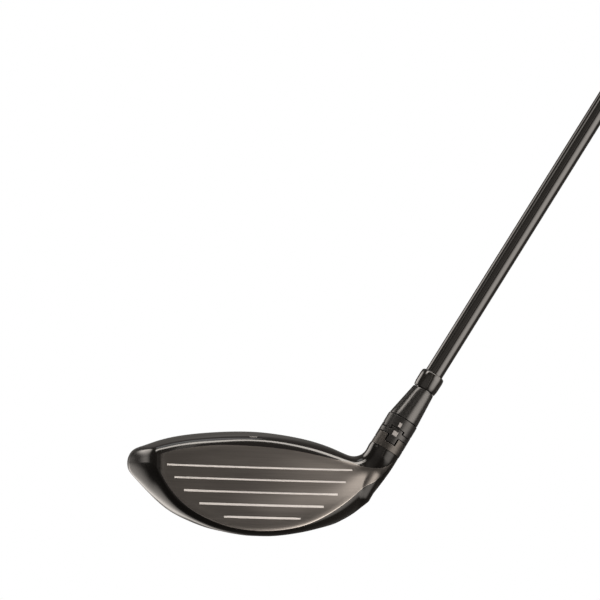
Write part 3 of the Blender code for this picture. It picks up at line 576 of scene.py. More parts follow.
def toothed(name, inner, outer, tops, feet, steps):
    """A ring whose upper and lower ends step between levels: tops and feet give the level of each sector."""
    points, index, faces = [], {}, []

    def corner(k, h, side):
        key = (k % steps, round(h, 4), side)
        if key not in index:
            index[key] = len(points)
            a = 2 * math.pi * (k % steps) / steps - math.pi / 2
            r = (inner, outer)[side]
            points.append(on_hosel(h, r * math.cos(a), r * math.sin(a)))
        return index[key]

    def levels(k, other):
        """Levels at which the wall of sector k needs a corner beside another sector."""
        return sorted({h for h in (tops[k], feet[k], tops[other], feet[other]) if tops[k] <= h <= feet[k]})

    def patch(*corners):
        faces.append([corner(*at) for at in corners])

    for k in range(steps):
        after = (k + 1) % steps
        for side in (0, 1):
            left = [(k, h, side) for h in levels(k, (k - 1) % steps)]
            right = [(k + 1, h, side) for h in reversed(levels(k, after))]
            patch(*left, *right)
        for level in (tops[k], feet[k]):
            patch((k, level, 0), (k + 1, level, 0), (k + 1, level, 1), (k, level, 1))
        for one, two in ((tops[k], tops[after]), (feet[k], feet[after])):
            if one != two:
                patch((k + 1, one, 0), (k + 1, two, 0), (k + 1, two, 1), (k + 1, one, 1))
    return make(name, points, faces)


def sectors(fine, plain, tab, half, turn):
    """Level of each fine sector of a ring: tab within half degrees of four directions, plain elsewhere."""
    out = []
    for k in range(STEPS):
        middle = (k + 0.5) * 360.0 / STEPS
        off = (middle - turn + 45.0) % 90.0 - 45.0
        out += [tab if abs(off) < half else plain] * fine
    return out


def skin_grid(rows, cols):
    """Quads between neighbouring rows and columns of a grid."""
    return [[i * cols + j, i * cols + j + 1, (i + 1) * cols + j + 1, (i + 1) * cols + j]
            for i in range(rows - 1) for j in range(cols - 1)]


def plate(name, opening, shift, thick, rows, columns, lift=0.0):
    """A plate that fills an opening of the head, a shift short of its edge all round."""
    s, u = inside(opening, shift, rows, columns)
    stations, lengths = u.shape
    skin, out = surface(s, u), normals(s, u)
    points = np.concatenate([(skin + out * lift).reshape(-1, 3), (skin - out * (thick - lift)).reshape(-1, 3)])
    size = stations * lengths
    faces = skin_grid(stations, lengths)
    faces += [[k + size for k in reversed(face)] for face in faces]
    edge = ([j for j in range(lengths)] + [i * lengths + lengths - 1 for i in range(1, stations)]
            + [(stations - 1) * lengths + j for j in range(lengths - 2, -1, -1)]
            + [i * lengths for i in range(stations - 2, 0, -1)])
    for k, one in enumerate(edge):
        two = edge[(k + 1) % len(edge)]
        faces.append([one, two, two + size, one + size])
    obj = make(name, points, faces)
    note_brushed(obj, np.tile(brushed_depth(np.asarray(s)[:, None], u).ravel(), 2))
    return obj


# The brushed area: stations where it fades in at the toe, where it starts to narrow and where it ends
BRUSHED_TOE = (15.0, 20.4)
BRUSHED_NECK = (111.0, 137.0)
BRUSHED_END = 138.0


def brushed_depth(s, u):
    """How far, in mm, a point of the skin lies inside the brushed area of the face. Negative outside."""
    low = np.where(u > ROUND / 2, u - ROUND, u) - U_LOW
    narrow = np.clip((s - BRUSHED_NECK[0]) / (BRUSHED_NECK[1] - BRUSHED_NECK[0]), 0.0, 1.0)
    high = U_UP - narrow ** 1.3 * (U_UP - U_LOW - 0.5) - u
    toe = np.where(s > BRUSHED_TOE[1], 2.0, (s - BRUSHED_TOE[0]) * 0.05)
    return np.minimum(np.minimum(low, high), np.minimum(toe, (BRUSHED_END - s) * 0.5))


def note_brushed(obj, depth):
    """Keeps the depth inside the brushed area with each point."""
    brushed = obj.data.attributes.new("brushed", "FLOAT", "POINT")
    brushed.data.foreach_set("value", np.clip(depth, -2.0, 2.0).astype(np.float32))


def body_block(name, rows, columns, seam):
    """The body as one closed block, with a shallow pocket for the face and one for the crown."""
    count, cols = len(rows), len(columns)
    skin, out = surface(rows, columns), normals(rows, columns)
    depth = np.broadcast_to(brushed_depth(np.array(rows)[:, None], np.array(columns)[None, :]), (count, cols))
    points, inside_depth = list(skin.reshape(-1, 3)), list(depth.ravel())
    openings = []
    for s0, s1, u0, u1 in (FACE_OPEN, CROWN_OPEN):
        near = [int(np.argmin(np.abs(np.array(rows) - v))) for v in (s0, s1)]
        wide = [int(np.argmin(np.abs(np.array(columns) - v))) for v in (u0, u1)]
        openings.append((*near, *wide))
    faces = []
    for i in range(count - 1):
        for j in range(cols):
            m = (j + 1) % cols
            if not any(i0 <= i < i1 and j0 <= j < j1 for i0, i1, j0, j1 in openings):
                faces.append([i * cols + j, i * cols + m, (i + 1) * cols + m, (i + 1) * cols + j])
    for row, lift in ((0, -0.06), (count - 1, 0.0)):
        ring = [row * cols + j for j in range(cols)]
        middle = len(points)
        points.append(np.mean([points[k] for k in ring], axis=0) + np.array([lift, 0, 0]))
        inside_depth.append(-2.0)
        faces += [[ring[j], ring[(j + 1) % cols], middle] for j in range(cols)]
    for i0, i1, j0, j1 in openings:
        base, wide = len(points), j1 - j0 + 1
        floor = skin[i0:i1 + 1, j0:j1 + 1] - out[i0:i1 + 1, j0:j1 + 1] * (SKIN_THICK + seam)
        points += list(floor.reshape(-1, 3))
        inside_depth += list(depth[i0:i1 + 1, j0:j1 + 1].ravel())
        faces += [[base + k for k in quad] for quad in skin_grid(i1 - i0 + 1, wide)]
        border = ([(i0, j) for j in range(j0, j1)] + [(i, j1) for i in range(i0, i1)]
                  + [(i1, j) for j in range(j1, j0, -1)] + [(i, j0) for i in range(i1, i0, -1)])
        for (i, j), (k, m) in zip(border, border[1:] + border[:1]):
            here, there = base + (i - i0) * wide + j - j0, base + (k - i0) * wide + m - j0
            faces.append([i * cols + j, k * cols + m, there, here])
    used = sorted({k for face in faces for k in face})
    place = {k: n for n, k in enumerate(used)}
    obj = make(name, [points[k] for k in used], [[place[k] for k in face] for face in faces])
    note_brushed(obj, [inside_depth[k] for k in used])
    return obj


def on_sole_weight(h, across=0.0, back=0.0):
    """A point h up from the skin of the rear of the sole, square to it."""
    u = KNOTS[13] + 2.0
    here = Plane(PLUG_STATION).loop([u])[0]
    out = normals([PLUG_STATION], np.array([[u]]))[0, 0]
    side = np.array([1.0, 0.0, 0.0])
    side = side - out * (side @ out)
    side = side / np.linalg.norm(side)
    return here - out * h + side * across + np.cross(out, side) * back


def on_tilted(h, across=0.0, back=0.0):
    """A point h down the hosel, but round the tilted axis of the shaft."""
    return on_shaft(-h, across, back)


def on_collar(h, across=0.0, back=0.0):
    """A point down the hosel whose axis leans over to the shaft within the collar."""
    lean = max(0.0, 1.0 - h / COLLAR_FOOT)
    shift = np.array(on_shaft(0.0)) - on_hosel(0.0)
    return on_hosel(h, across, back) + shift * lean


def shaft_radius(t):
    """Radius of the shaft: parallel at the tip, then an even taper."""
    if t <= PARALLEL:
        return TIP_R
    return TIP_R + (BUTT_R - TIP_R) * (t - PARALLEL) / (BUTT - PARALLEL)


def score_bars(name, half_width, low, high, ends):
    """Five bars that follow the bulge of the face, from low to high mm above it."""
    points, faces = [], []
    for z, half in SCORES:
        base = len(points)
        count = 49
        for x in np.linspace(-half - ends, half + ends, count):
            for side, lift in ((-1.0, high), (1.0, high), (0.8, low), (-0.8, low)):
                across = z + side * half_width
                points.append((x, face_y(x, across) - lift, across + lift * 0.28))
        for i in range(count - 1):
            for k in range(4):
                m = (k + 1) % 4
                faces.append([base + i * 4 + n for n in (k, m, 4 + m, 4 + k)])
        faces.append([base + k for k in range(4)])
        faces.append([base + (count - 1) * 4 + k for k in range(4)])
    return make(name, points, faces)


class Value:
    """An output of a node, on which arithmetic adds Math nodes."""

    def __init__(self, nodes, socket):
        self.nodes = nodes
        self.socket = socket

    def __add__(self, other):
        return self.nodes.math("ADD", self, other)

    def __mul__(self, other):
        return self.nodes.math("MULTIPLY", self, other)

    def __sub__(self, other):
        return self.nodes.math("SUBTRACT", self, other)

    def __rsub__(self, other):
        return self.nodes.math("SUBTRACT", other, self)

    __radd__ = __add__
    __rmul__ = __mul__

    def of(self, name):
        """The value put through a Math operation of one input."""
        return self.nodes.math(name, self)

    def clamp(self):
        return self.nodes.node("ShaderNodeClamp", {}, {0: self})


class Nodes:
    """A node tree under construction. Every node but arithmetic comes from its node method."""

    def __init__(self, tree):
        self.tree = tree

    def put(self, socket, value):
        if isinstance(value, Value):
            self.tree.links.new(value.socket, socket)
        else:
            socket.default_value = (*value, 1.0) if socket.type == "RGBA" and len(value) == 3 else value

    def math(self, operation, *values):
        return self.node("ShaderNodeMath", {"operation": operation}, dict(enumerate(values)))

    def node(self, kind, settings, inputs, output=0):
        node = self.tree.nodes.new(kind)
        stops = settings.pop("stops", None)
        for key, value in settings.items():
            setattr(node, key, value)
        if stops:
            ramp = node.color_ramp.elements
            ramp[0].position, ramp[1].position = stops[0][0], stops[-1][0]
            ramp[0].color, ramp[1].color = ((v, v, v, 1) for v in (stops[0][1], stops[-1][1]))
            for position, level in stops[1:-1]:
                ramp.new(position).color = (level, level, level, 1)
        for key, value in inputs.items():
            self.put(node.inputs[key], value)
        return Value(self, node.outputs[output])

    def part(self, vector, axis):
        """One coordinate of a vector."""
        return self.node("ShaderNodeSeparateXYZ", {}, {0: vector}, axis)

    def toward(self, way, direction):
        """The cosine between a unit vector and a direction."""
        return self.vector("DOT_PRODUCT", way, tuple(Vector(direction).normalized()), "Value")

    def vector(self, operation, one, other=None, output=0, **more):
        inputs = {0: one} if other is None else {0: one, 1: other}
        return self.node("ShaderNodeVectorMath", {"operation": operation}, {**inputs, **more}, output)

    def rise(self, value, low, high):
        """A smooth step from 0 at low to 1 at high."""
        settings = {"interpolation_type": "SMOOTHSTEP"}
        return self.node("ShaderNodeMapRange", settings, {"Value": value, "From Min": low, "From Max": high})

    def blend(self, factor, one, other):
        """A mix of two colours."""
        return self.node("ShaderNodeMix", {"data_type": "RGBA"}, {0: factor, 6: one, 7: other}, 2)


class Finish(Nodes):
    """A material under construction."""

    def __init__(self, name, **uniform):
        self.material = bpy.data.materials.new(name)
        self.material.use_nodes = True
        super().__init__(self.material.node_tree)
        self.shader = self.tree.nodes["Principled BSDF"]
        for socket, value in uniform.items():
            self.set(socket.replace("_", " "), value)

    def set(self, socket, value):
        self.put(self.shader.inputs[socket], value)

    def place(self):
        """The point on the piece at rest, in millimetres."""
        coordinate = self.node("ShaderNodeTexCoord", {}, {}, "Object")
        return self.vector("SCALE", coordinate, Scale=1 / MM)

    def along(self, place, start, direction):
        """Distance of the place from a start, along a direction."""
        off = self.vector("SUBTRACT", place, tuple(start))
        return self.vector("DOT_PRODUCT", off, tuple(direction), "Value")

    def noise(self, place, stretch, detail=3.0, rough=0.55):
        """Noise of about 0 to 1 with so many waves to the millimetre along each axis."""
        spot = self.vector("MULTIPLY", place, stretch)
        waves = {"Vector": spot, "Scale": 1.0, "Detail": detail, "Roughness": rough}
        return self.node("ShaderNodeTexNoise", {}, waves)

    def tone(self, level, colour, low, high):
        """The colour, from a low to a high share of itself by a level of 0 to 1."""
        return self.blend(level.clamp(), lighter(colour, low), lighter(colour, high))

    def flakes(self, place, scale):
        """A random level for each small cell."""
        spot = self.vector("SCALE", place, Scale=scale)
        cell = self.node("ShaderNodeTexVoronoi", {}, {"Vector": spot, "Scale": 1.0}, "Color")
        return self.node("ShaderNodeSeparateColor", {}, {0: cell})

    def ramp(self, value, *stops):
        return self.node("ShaderNodeValToRGB", {"stops": list(stops)}, {0: value})

    def relief(self, height, depth):
        """Height of 0 to 1 as a bump of a depth in millimetres."""
        inputs = {"Height": height, "Distance": depth * MM, "Strength": 1.0}
        self.set("Normal", self.node("ShaderNodeBump", {}, inputs, "Normal"))


def lighter(colour, share):
    """The colour times a share, no brighter than white."""
    return tuple(min(1.0, c * share) for c in colour)


def axis_parts(finish, place, lie, foot):
    """Distance up an axis, and the two distances off it."""
    up, out, rear = axis_frame(lie)
    start = (foot[0], 0.0, foot[1])
    return [finish.along(place, start, way) for way in (up, out, rear)]


def brushed_parts(finish, place, looks):
    """Colour, roughness and height of the brushed face, whose lines run from toe to heel."""
    fine = finish.noise(place, (0.05, 0.3, 9.0), 3.0, 0.7)
    broad = finish.noise(place, (0.012, 0.1, 1.3), 4.0, 0.6)
    patches = finish.noise(place, (0.03, 0.05, 0.06), 2.0)
    streak = (fine * 0.6 + broad * 0.4 - 0.5) * looks.brush_contrast + 0.5
    colour = finish.tone(streak * 0.8 + patches * 0.4 - 0.1, looks.face, 0.6, 1.45)
    rough = looks.face_roughness + (fine - 0.5) * 0.12 + (patches - 0.5) * 0.06
    return colour, rough, fine * 0.7 + broad * 0.3


def paint_parts(finish, place, colour, rough):
    """Colour, roughness and height of a sprayed lacquer: small flakes under it, the brightest of them lightened in
    the colour as a painted glint, and a faint orange peel on top.
    """
    flake = finish.flakes(place, 5.0)
    cloud = finish.noise(place, (0.06, 0.06, 0.06), 3.0)
    peel = finish.noise(place, (0.55, 0.55, 0.55), 2.0, 0.4)
    # Painted glint: the brightest tenth of the flakes is lightened in the colour
    glint = finish.ramp(flake, (0.0, 0.0), (0.9, 0.0), (1.0, 1.0))
    shade = finish.tone(cloud * 0.7 + glint * 0.12, colour, 0.75, 1.6)
    return shade, rough + (cloud - 0.5) * 0.08 + (peel - 0.5) * 0.02, peel


def body_finish(name, looks):
    """Gloss black, and on the face and its run up to the hosel the brushed metal, with a painted highlight along the
    low edge of the brushed area towards the heel.
    """
    finish = Finish(name, Specular_IOR_Level=looks.gloss, Coat_Roughness=0.06)
    place = finish.place()
    depth = finish.node("ShaderNodeAttribute", {"attribute_name": "brushed"}, {}, "Fac")
    metal = (depth * 6.0 - 0.6).clamp()
    colour, rough, height = brushed_parts(finish, place, looks)
    across, height_up = finish.part(place, "X"), finish.part(place, "Z")
    # The painted highlight is kept to the heel side and the low part of the face
    low = finish.rise(across, -40.0, -20.0) * (1.0 - finish.rise(height_up, 28.0, 36.0))
    # Painted highlight: a thin band about 0.45 mm inside the edge of the brushed area gets three times the colour of
    # the face
    edge = (1.0 - ((depth - 0.45) * 2.6).of("ABSOLUTE")).clamp() * low
    painted_edge_highlight = finish.blend(edge, colour, lighter(looks.face, 3.0))
    shade, satin, peel = paint_parts(finish, place, looks.body, looks.body_roughness)
    facing = finish.part(finish.node("ShaderNodeTexCoord", {}, {}, "Normal"), "Z")
    finish.set("Base Color", finish.blend(metal, shade, painted_edge_highlight))
    finish.set("Roughness", (metal * rough + (1.0 - metal) * satin).clamp())
    finish.set("Metallic", metal)
    finish.set("Coat Weight", (1.0 - metal) * finish.rise(facing, -0.1, 0.5) * looks.coat)
    lines = metal * height * (looks.brush_depth / looks.peel_depth)
    finish.relief(lines + (1.0 - metal) * peel, looks.peel_depth / MM)
    return finish.material


def gloss_finish(name, colour, looks, rough):
    """A sprayed gloss black."""
    finish = Finish(name, Specular_IOR_Level=looks.gloss, Coat_Roughness=0.05)
    place = finish.place()
    shade, satin, peel = paint_parts(finish, place, colour, rough)
    finish.set("Base Color", shade)
    finish.set("Roughness", satin.clamp())
    finish.set("Coat Weight", looks.coat)
    finish.relief(peel, looks.peel_depth / MM)
    return finish.material


def blasted_finish(name, colour, rough):
    """Metal blasted with fine grit: a matte grain over slow changes of tone."""
    finish = Finish(name, Metallic=1.0)
    place = finish.place()
    grain = finish.noise(place, (9.0, 9.0, 9.0), 3.0, 0.7)
    cloud = finish.noise(place, (0.4, 0.4, 0.4), 3.0)
    finish.set("Base Color", finish.tone(grain * 0.6 + cloud * 0.4, colour, 0.65, 1.35))
    finish.set("Roughness", (rough + (grain - 0.5) * 0.2).clamp())
    finish.relief(grain, 0.0015)
    return finish.material


def lathed_finish(name, colour, rough, lie, foot, metal=1.0, grooves=14.0, depth=0.006, faced=False, **uniform):
    """Turned metal: fine lines round the axis on the sides, or round its middle on an end that is faced."""
    finish = Finish(name, **uniform)
    finish.set("Metallic", metal)
    place = finish.place()
    up, out, rear = axis_parts(finish, place, lie, foot)
    line = (out * out + rear * rear).of("SQRT") if faced else up
    spot = finish.node("ShaderNodeCombineXYZ", {}, {0: line * grooves, 1: up * 0.3, 2: rear * 0.15})
    turning = finish.node("ShaderNodeTexNoise", {}, {"Vector": spot, "Scale": 1.0, "Detail": 3.0})
    cloud = finish.noise(place, (0.35, 0.35, 0.35), 3.0)
    finish.set("Base Color", finish.tone(turning * 0.6 + cloud * 0.4, colour, 0.7, 1.4))
    finish.set("Roughness", (rough + (turning - 0.5) * 0.18 + (cloud - 0.5) * 0.08).clamp())
    finish.relief(turning, depth)
    return finish.material


def moulded_finish(name, colour, rough, scale=2.0, depth=0.01, **uniform):
    """Moulded plastic or rubber: a fine skin texture over slow changes of tone."""
    finish = Finish(name, **uniform)
    place = finish.place()
    skin = finish.noise(place, (scale, scale, scale), 4.0, 0.65)
    cloud = finish.noise(place, (0.05, 0.05, 0.05), 3.0)
    finish.set("Base Color", finish.tone(skin * 0.5 + cloud * 0.5, colour, 0.7, 1.4))
    finish.set("Roughness", (rough + (skin - 0.5) * 0.15 + (cloud - 0.5) * 0.1).clamp())
    finish.relief(skin, depth)
    return finish.material


def shaft_finish(looks):
    """Gloss black lacquer over wound fibre: a faint slanting weave shows under the clear coat."""
    finish = Finish("shaft_paint", Specular_IOR_Level=looks.gloss, Coat_Roughness=0.04, Coat_Weight=looks.coat)
    place = finish.place()
    up, out, rear = axis_parts(finish, place, SHAFT_LIE, SHAFT_FOOT)
    angle = finish.math("ARCTAN2", out, rear)
    wound = (up * 1.6 + angle * 5.0).of("SINE") * (up * 1.6 - angle * 5.0).of("SINE")
    shade, satin, peel = paint_parts(finish, place, looks.shaft, looks.shaft_roughness)
    finish.set("Base Color", finish.blend((wound * 0.15 + 0.15).clamp(), shade, lighter(looks.shaft, 1.6)))
    finish.set("Roughness", satin.clamp())
    finish.relief(peel, looks.peel_depth / MM)
    return finish.material


def colour_of(name, about, default):
    return FloatVectorProperty(name=name, description=about, default=default, size=3, min=0.0, max=1.0,
                               subtype="COLOR")


def length_of(name, about, default, low, high):
    return FloatProperty(name=name, description=about, default=default, min=low, max=high, precision=5,
                         unit="LENGTH")


def level_of(name, about, default, high=4.0):
    return FloatProperty(name=name, description=about, default=default, min=0.0, max=high)


def share_of(name, about, default):
    return FloatProperty(name=name, description=about, default=default, min=0.0, max=1.0, subtype="FACTOR")


def angle_of(name, about, degrees):
    return FloatProperty(name=name, description=about, default=math.radians(degrees), subtype="ANGLE")


class FairwayHead(bpy.types.PropertyGroup):
    """Colours and fineness of the head."""

    body: colour_of("Body black", "Lacquer of the body and crown", (0.0042, 0.0038, 0.0034))
    face: colour_of("Face metal", "Brushed metal of the face", (0.072, 0.067, 0.063))
    ring: colour_of("Ring metal", "Blasted ring at the top of the hosel", (0.045, 0.042, 0.039))
    alloy: colour_of("Black alloy", "Anodised cogs and sleeve", (0.012, 0.0115, 0.011))
    paint: colour_of("Score paint", "Paint in the score lines and marks", (0.26, 0.25, 0.245))
    steel: colour_of("Steel", "Screw, washer and bush", (0.42, 0.41, 0.40))
    tungsten: colour_of("Tungsten", "Weights", (0.16, 0.155, 0.15))
    shaft: colour_of("Shaft black", "Lacquer of the shaft", (0.006, 0.0055, 0.005))
    grip: colour_of("Grip rubber", "Rubber of the grip and its cap", (0.016, 0.0155, 0.015))
    face_roughness: share_of("Face roughness", "Spread of the shine on the brushed face", 0.36)
    body_roughness: share_of("Body roughness", "Spread of the shine on the body", 0.16)
    shaft_roughness: share_of("Shaft roughness", "Spread of the shine on the shaft", 0.14)
    gloss: share_of("Gloss level", "Strength of the reflection of the lacquer", 0.16)
    coat: share_of("Clear coat", "Weight of the clear coat over the lacquer", 0.5)
    brush_contrast: level_of("Brush contrast", "Contrast of the brushed lines", 1.1)
    brush_depth: length_of("Brush depth", "Depth of the brushed lines", 0.000004, 0.0, 0.0001)
    peel_depth: length_of("Orange peel", "Depth of the faint waves in the lacquer", 0.0000006, 0.0, 0.0001)
    cell: length_of("Skin cell", "Size of the cells of the fine skin", 0.0011, 0.0005, 0.004)
    seam: length_of("Seam", "Gap round the face and the crown", 0.00001, 0.00001, 0.0004)
    edge: length_of("Edge radius", "Rounding of the edges of cogs and ring", 0.00014, 0.00003, 0.0003)


class FairwayShaft(bpy.types.PropertyGroup):
    """Fineness of the turned pieces and the pattern of the grip."""

    sides: IntProperty(name="Sides", description="Sides of the turned pieces", default=96, min=24, max=256)
    thread_pitch: length_of("Thread pitch", "Rise of the screw's thread in one turn", 0.0008, 0.0003, 0.002)
    thread_depth: length_of("Thread depth", "Depth of the screw's thread", 0.00045, 0.0, 0.0008)
    pattern_pitch: length_of("Pattern pitch", "Distance between the rows of the grip's pattern", 0.0036, 0.002, 0.01)
    pattern_depth: length_of("Pattern depth", "Depth of the grip's pattern", 0.00032, 0.0, 0.001)


class FairwayStage(bpy.types.PropertyGroup):
    """Floor, light and camera."""

    floor: colour_of("Floor", "Colour of the floor", (1.0, 1.0, 1.0))
    floor_size: length_of("Floor radius", "Radius of the floor", 30.0, 0.5, 60.0)
    sky: level_of("Background", "Brightness of the background as seen", 1.0)
    room: level_of("Room", "Brightness of the room between the soft boxes", 0.14)
    sun: level_of("Overhead light", "Strength of the overhead light", 0.5, 20.0)
    sun_angle: angle_of("Overhead spread", "Angle that the overhead light fills", 40.0)
    azimuth: angle_of("Azimuth", "Side the camera looks from", -13.0)
    roll: angle_of("Roll", "Turn of the camera about its view", 2.44)
    lens: level_of("Lens", "Focal length of the camera in mm", 198.0, 400.0)
    distance: length_of("Distance", "Distance of the camera", 1.5, 0.5, 5.0)


GROUPS = {"fairway_head": FairwayHead, "fairway_shaft": FairwayShaft, "fairway_stage": FairwayStage}

# The point that the camera looks at, in metres
CAMERA_AIM = (0.0155, -0.0038, 0.1072)
# Soft boxes of the surround: direction, cosines where they start and are full, brightness
SOFT_BOXES = [
    ((0.66, -0.70, -0.05), 0.77, 1.0, 7.5),
    ((-0.35, 0.80, -0.45), 0.84, 0.96, 2.4),
    ((-0.72, 0.60, 0.35), 0.93, 0.99, 5.0),
    ((-0.60, -0.75, 0.10), 0.80, 0.98, 0.5),
]
# Strips of light: the axis that each runs square to, sine of half its width, brightness, sine of its lowest height
STRIPS = [
    ((0.0, 0.98, 0.21), 0.17, 13.0, 0.1),
    ((0.99, -0.11, 0.0), 0.05, 1.2, -0.2),
]
# The strips end to the rear, and over the toe, between these parts of a direction
STRIP_REAR = (0.0, 0.2)
STRIP_TOE = (-0.8, -0.6)
WARM = (1.0, 0.93, 0.86)
SUN_FROM = (-0.10, 0.30, 1.0)


class Piece(bpy.types.Operator):
    """One step of the build, which works from the scene's settings."""

    bl_options = {"REGISTER", "UNDO"}

    def execute(self, context):
        self.build(context.scene.fairway_head, context.scene.fairway_shaft)
        return {"FINISHED"}


def grooves():
    """The cutter of the score lines, a little wider than their paint."""
    return score_bars("grooves", SCORE_HALF + 0.05, -SCORE_DEEP, 1.2, 0.05)


class FAIRWAY_OT_body(Piece):
    """Builds the body with its bore, screw port and weight pocket"""

    bl_idname = "fairway.body"
    bl_label = "Body"

    def build(self, head, shaft):
        body = body_block("body_skin", *skin_lines(head), head.seam / MM)
        narrow, seat, room = NARROW_R + 0.1, SCREW_HEAD[1] + 0.3, PLUG_R + 0.12
        profile = [(0, 20), (BORE_R, 20), (BORE_R, NARROW_FROM + 0.2), (narrow, NARROW_FROM + 0.6),
                   (narrow, WEB_TOP), (WEB_HOLE_R, WEB_TOP), (WEB_HOLE_R, WEB_FOOT), (SCREW_SEAT_R, WEB_FOOT),
                   (SCREW_SEAT_R, seat), (MOUTH_R, seat + 1.0), (MOUTH_R, PORT_FOOT), (0, PORT_FOOT)]
        bore = turned("bore", profile, on_hosel, shaft.sides)
        profile = [(0, PLUG_DEEP + 0.2), (room, PLUG_DEEP + 0.2), (room, 0.25), (room + 0.5, -0.25),
                   (room + 0.5, -4.0), (0, -4.0)]
        pocket = turned("pocket", profile, on_sole_weight, shaft.sides)
        carve_skin(body, bore, pocket, grooves())
        own(body, "head", "head_body", body_finish("painted_body", head))


class FAIRWAY_OT_face(Piece):
    """Builds the brushed face with its five score lines and their paint"""

    bl_idname = "fairway.face"
    bl_label = "Face"

    def build(self, head, shaft):
        face = plate("face_skin", FACE_OPEN, head.seam / MM, SKIN_THICK, *skin_lines(head))
        carve_skin(face, grooves())
        own(face, "head", "face_plate", body_finish("brushed_face", head))
        paint = score_bars("score_paint", SCORE_HALF + 0.03, -SCORE_DEEP + 0.02, -0.09, 0.03)
        finish = moulded_finish("score_paint", head.paint, 0.55, 1.5, 0.01)
        own(paint, "head", None, finish)


class FAIRWAY_OT_crown(Piece):
    """Builds the gloss crown and the plain alignment mark on its front edge"""

    bl_idname = "fairway.crown"
    bl_label = "Crown"

    def build(self, head, shaft):
        crown = plate("crown_skin", CROWN_OPEN, head.seam / MM, SKIN_THICK, *skin_lines(head))
        black = gloss_finish("gloss_crown", head.body, head, head.body_roughness)
        own(crown, "head", "crown", black)
        patch = (59.2, 62.8, U_EDGE + 1.75, U_EDGE + 2.5)
        mark = plate("crown_mark", patch, 0.0, 0.06, span(*patch[:2], 9), span(*patch[2:], 4), 0.02)
        paint = moulded_finish("mark_paint", lighter(head.paint, 0.5), 0.5, 1.5, 0.005)
        own(mark, "head", None, paint)


class FAIRWAY_OT_weights(Piece):
    """Builds the weight in the sole and finishes the bar inside"""

    bl_idname = "fairway.weights"
    bl_label = "Weights"

    def build(self, head, shaft):
        inner = PLUG_R - 1.5
        profile = rounded([(0, 0.55), (inner, 0.55), (inner + 0.35, 0.3), (PLUG_R, 0.3), (PLUG_R, PLUG_DEEP),
                           (0, PLUG_DEEP)], 0.25)
        plug = turned("sole_weight_face", profile, on_sole_weight, shaft.sides)
        centre = on_sole_weight(0.0)
        finish = Finish("tungsten", Metallic=1.0)
        place = finish.place()
        radius = finish.vector("DISTANCE", place, tuple(centre), "Value")
        spot = finish.node("ShaderNodeCombineXYZ", {}, {0: radius * 7.0})
        ring = finish.node("ShaderNodeTexNoise", {}, {"Vector": spot, "Scale": 1.0, "Detail": 3.0})
        cloud = finish.noise(place, (0.4, 0.4, 0.4))
        finish.set("Base Color", finish.tone(ring * 0.7 + cloud * 0.3, head.tungsten, 0.7, 1.4))
        finish.set("Roughness", (ring * 0.2 + 0.26).clamp())
        finish.relief(ring, 0.006)
        own(plug, "head", "sole_weight", finish.material)
        carried("inner_weight", blasted_finish("cast_tungsten", head.tungsten, 0.5))


class FAIRWAY_OT_hosel(Piece):
    """Builds the castellated ring of the hosel and the two cogs with their ticks"""

    bl_idname = "fairway.hosel"
    bl_label = "Ring and cogs"

    def build(self, head, shaft):
        fine, edge = 3, head.edge / MM
        steps = STEPS * fine
        notch = TAB_HALF + NOTCH_ROOM
        tops = sectors(fine, RING_TOP, COG_FOOT + TAB_LONG + GAP, notch, TAB_TURN)
        ring = toothed("ring_face", BORE_R, HOSEL_R, tops, [RING_FOOT] * steps, steps)
        steel = blasted_finish("ring_steel", head.ring, 0.42)
        own(soften(ring, edge), "head", "hosel_ring", steel)
        alloy = lathed_finish("black_alloy", head.alloy, 0.34, HOSEL_LIE, HOSEL_FOOT, 0.55, 9.0, 0.0006)
        lower = toothed("lower_cog_face", BORE_R - 0.1, HOSEL_R,
                        sectors(fine, COG_SPLIT + GAP, COG_SPLIT + TAB_SHORT + GAP, notch, TAB_TURN + 45.0),
                        sectors(fine, COG_FOOT, COG_FOOT + TAB_LONG, TAB_HALF, TAB_TURN), steps)
        own(soften(lower, edge), "club", "lower_cog", alloy)
        upper = toothed("upper_cog_face", BORE_R - 0.1, HOSEL_R, [COLLAR_FOOT + GAP] * steps,
                        sectors(fine, COG_SPLIT, COG_SPLIT + TAB_SHORT, TAB_HALF, TAB_TURN + 45.0), steps)
        own(soften(upper, edge), "club", "upper_cog", alloy)
        paint = moulded_finish("tick_paint", lighter(head.paint, 0.75), 0.5, 1.5, 0.005)
        self.tick("upper_tick", 20.1, 1.05, (-5.5, 5.5), paint)
        self.tick("lower_tick", 24.6, 1.05, (-9.0, 9.0), paint)

    def tick(self, name, h, half, turns, paint):
        """A thin patch of paint on the round of a cog, towards the front."""
        start, end = (math.radians(TAB_TURN - 90.0 + t) for t in turns)
        count = 9
        points = []
        for r in (HOSEL_R + 0.03, HOSEL_R - 0.05):
            for along in (h - half, h + half):
                for a in np.linspace(start, end, count):
                    points.append(on_hosel(along, r * math.cos(a), r * math.sin(a)))
        faces = []
        for one, two in ((0, 1), (1, 3), (3, 2), (2, 0)):
            for k in range(count - 1):
                faces.append([n * count + k + step for n, step in ((one, 0), (one, 1), (two, 1), (two, 0))])
        for k in (0, count - 1):
            faces.append([k, count + k, 3 * count + k, 2 * count + k])
        own(make(name, points, faces), "club", None, paint)


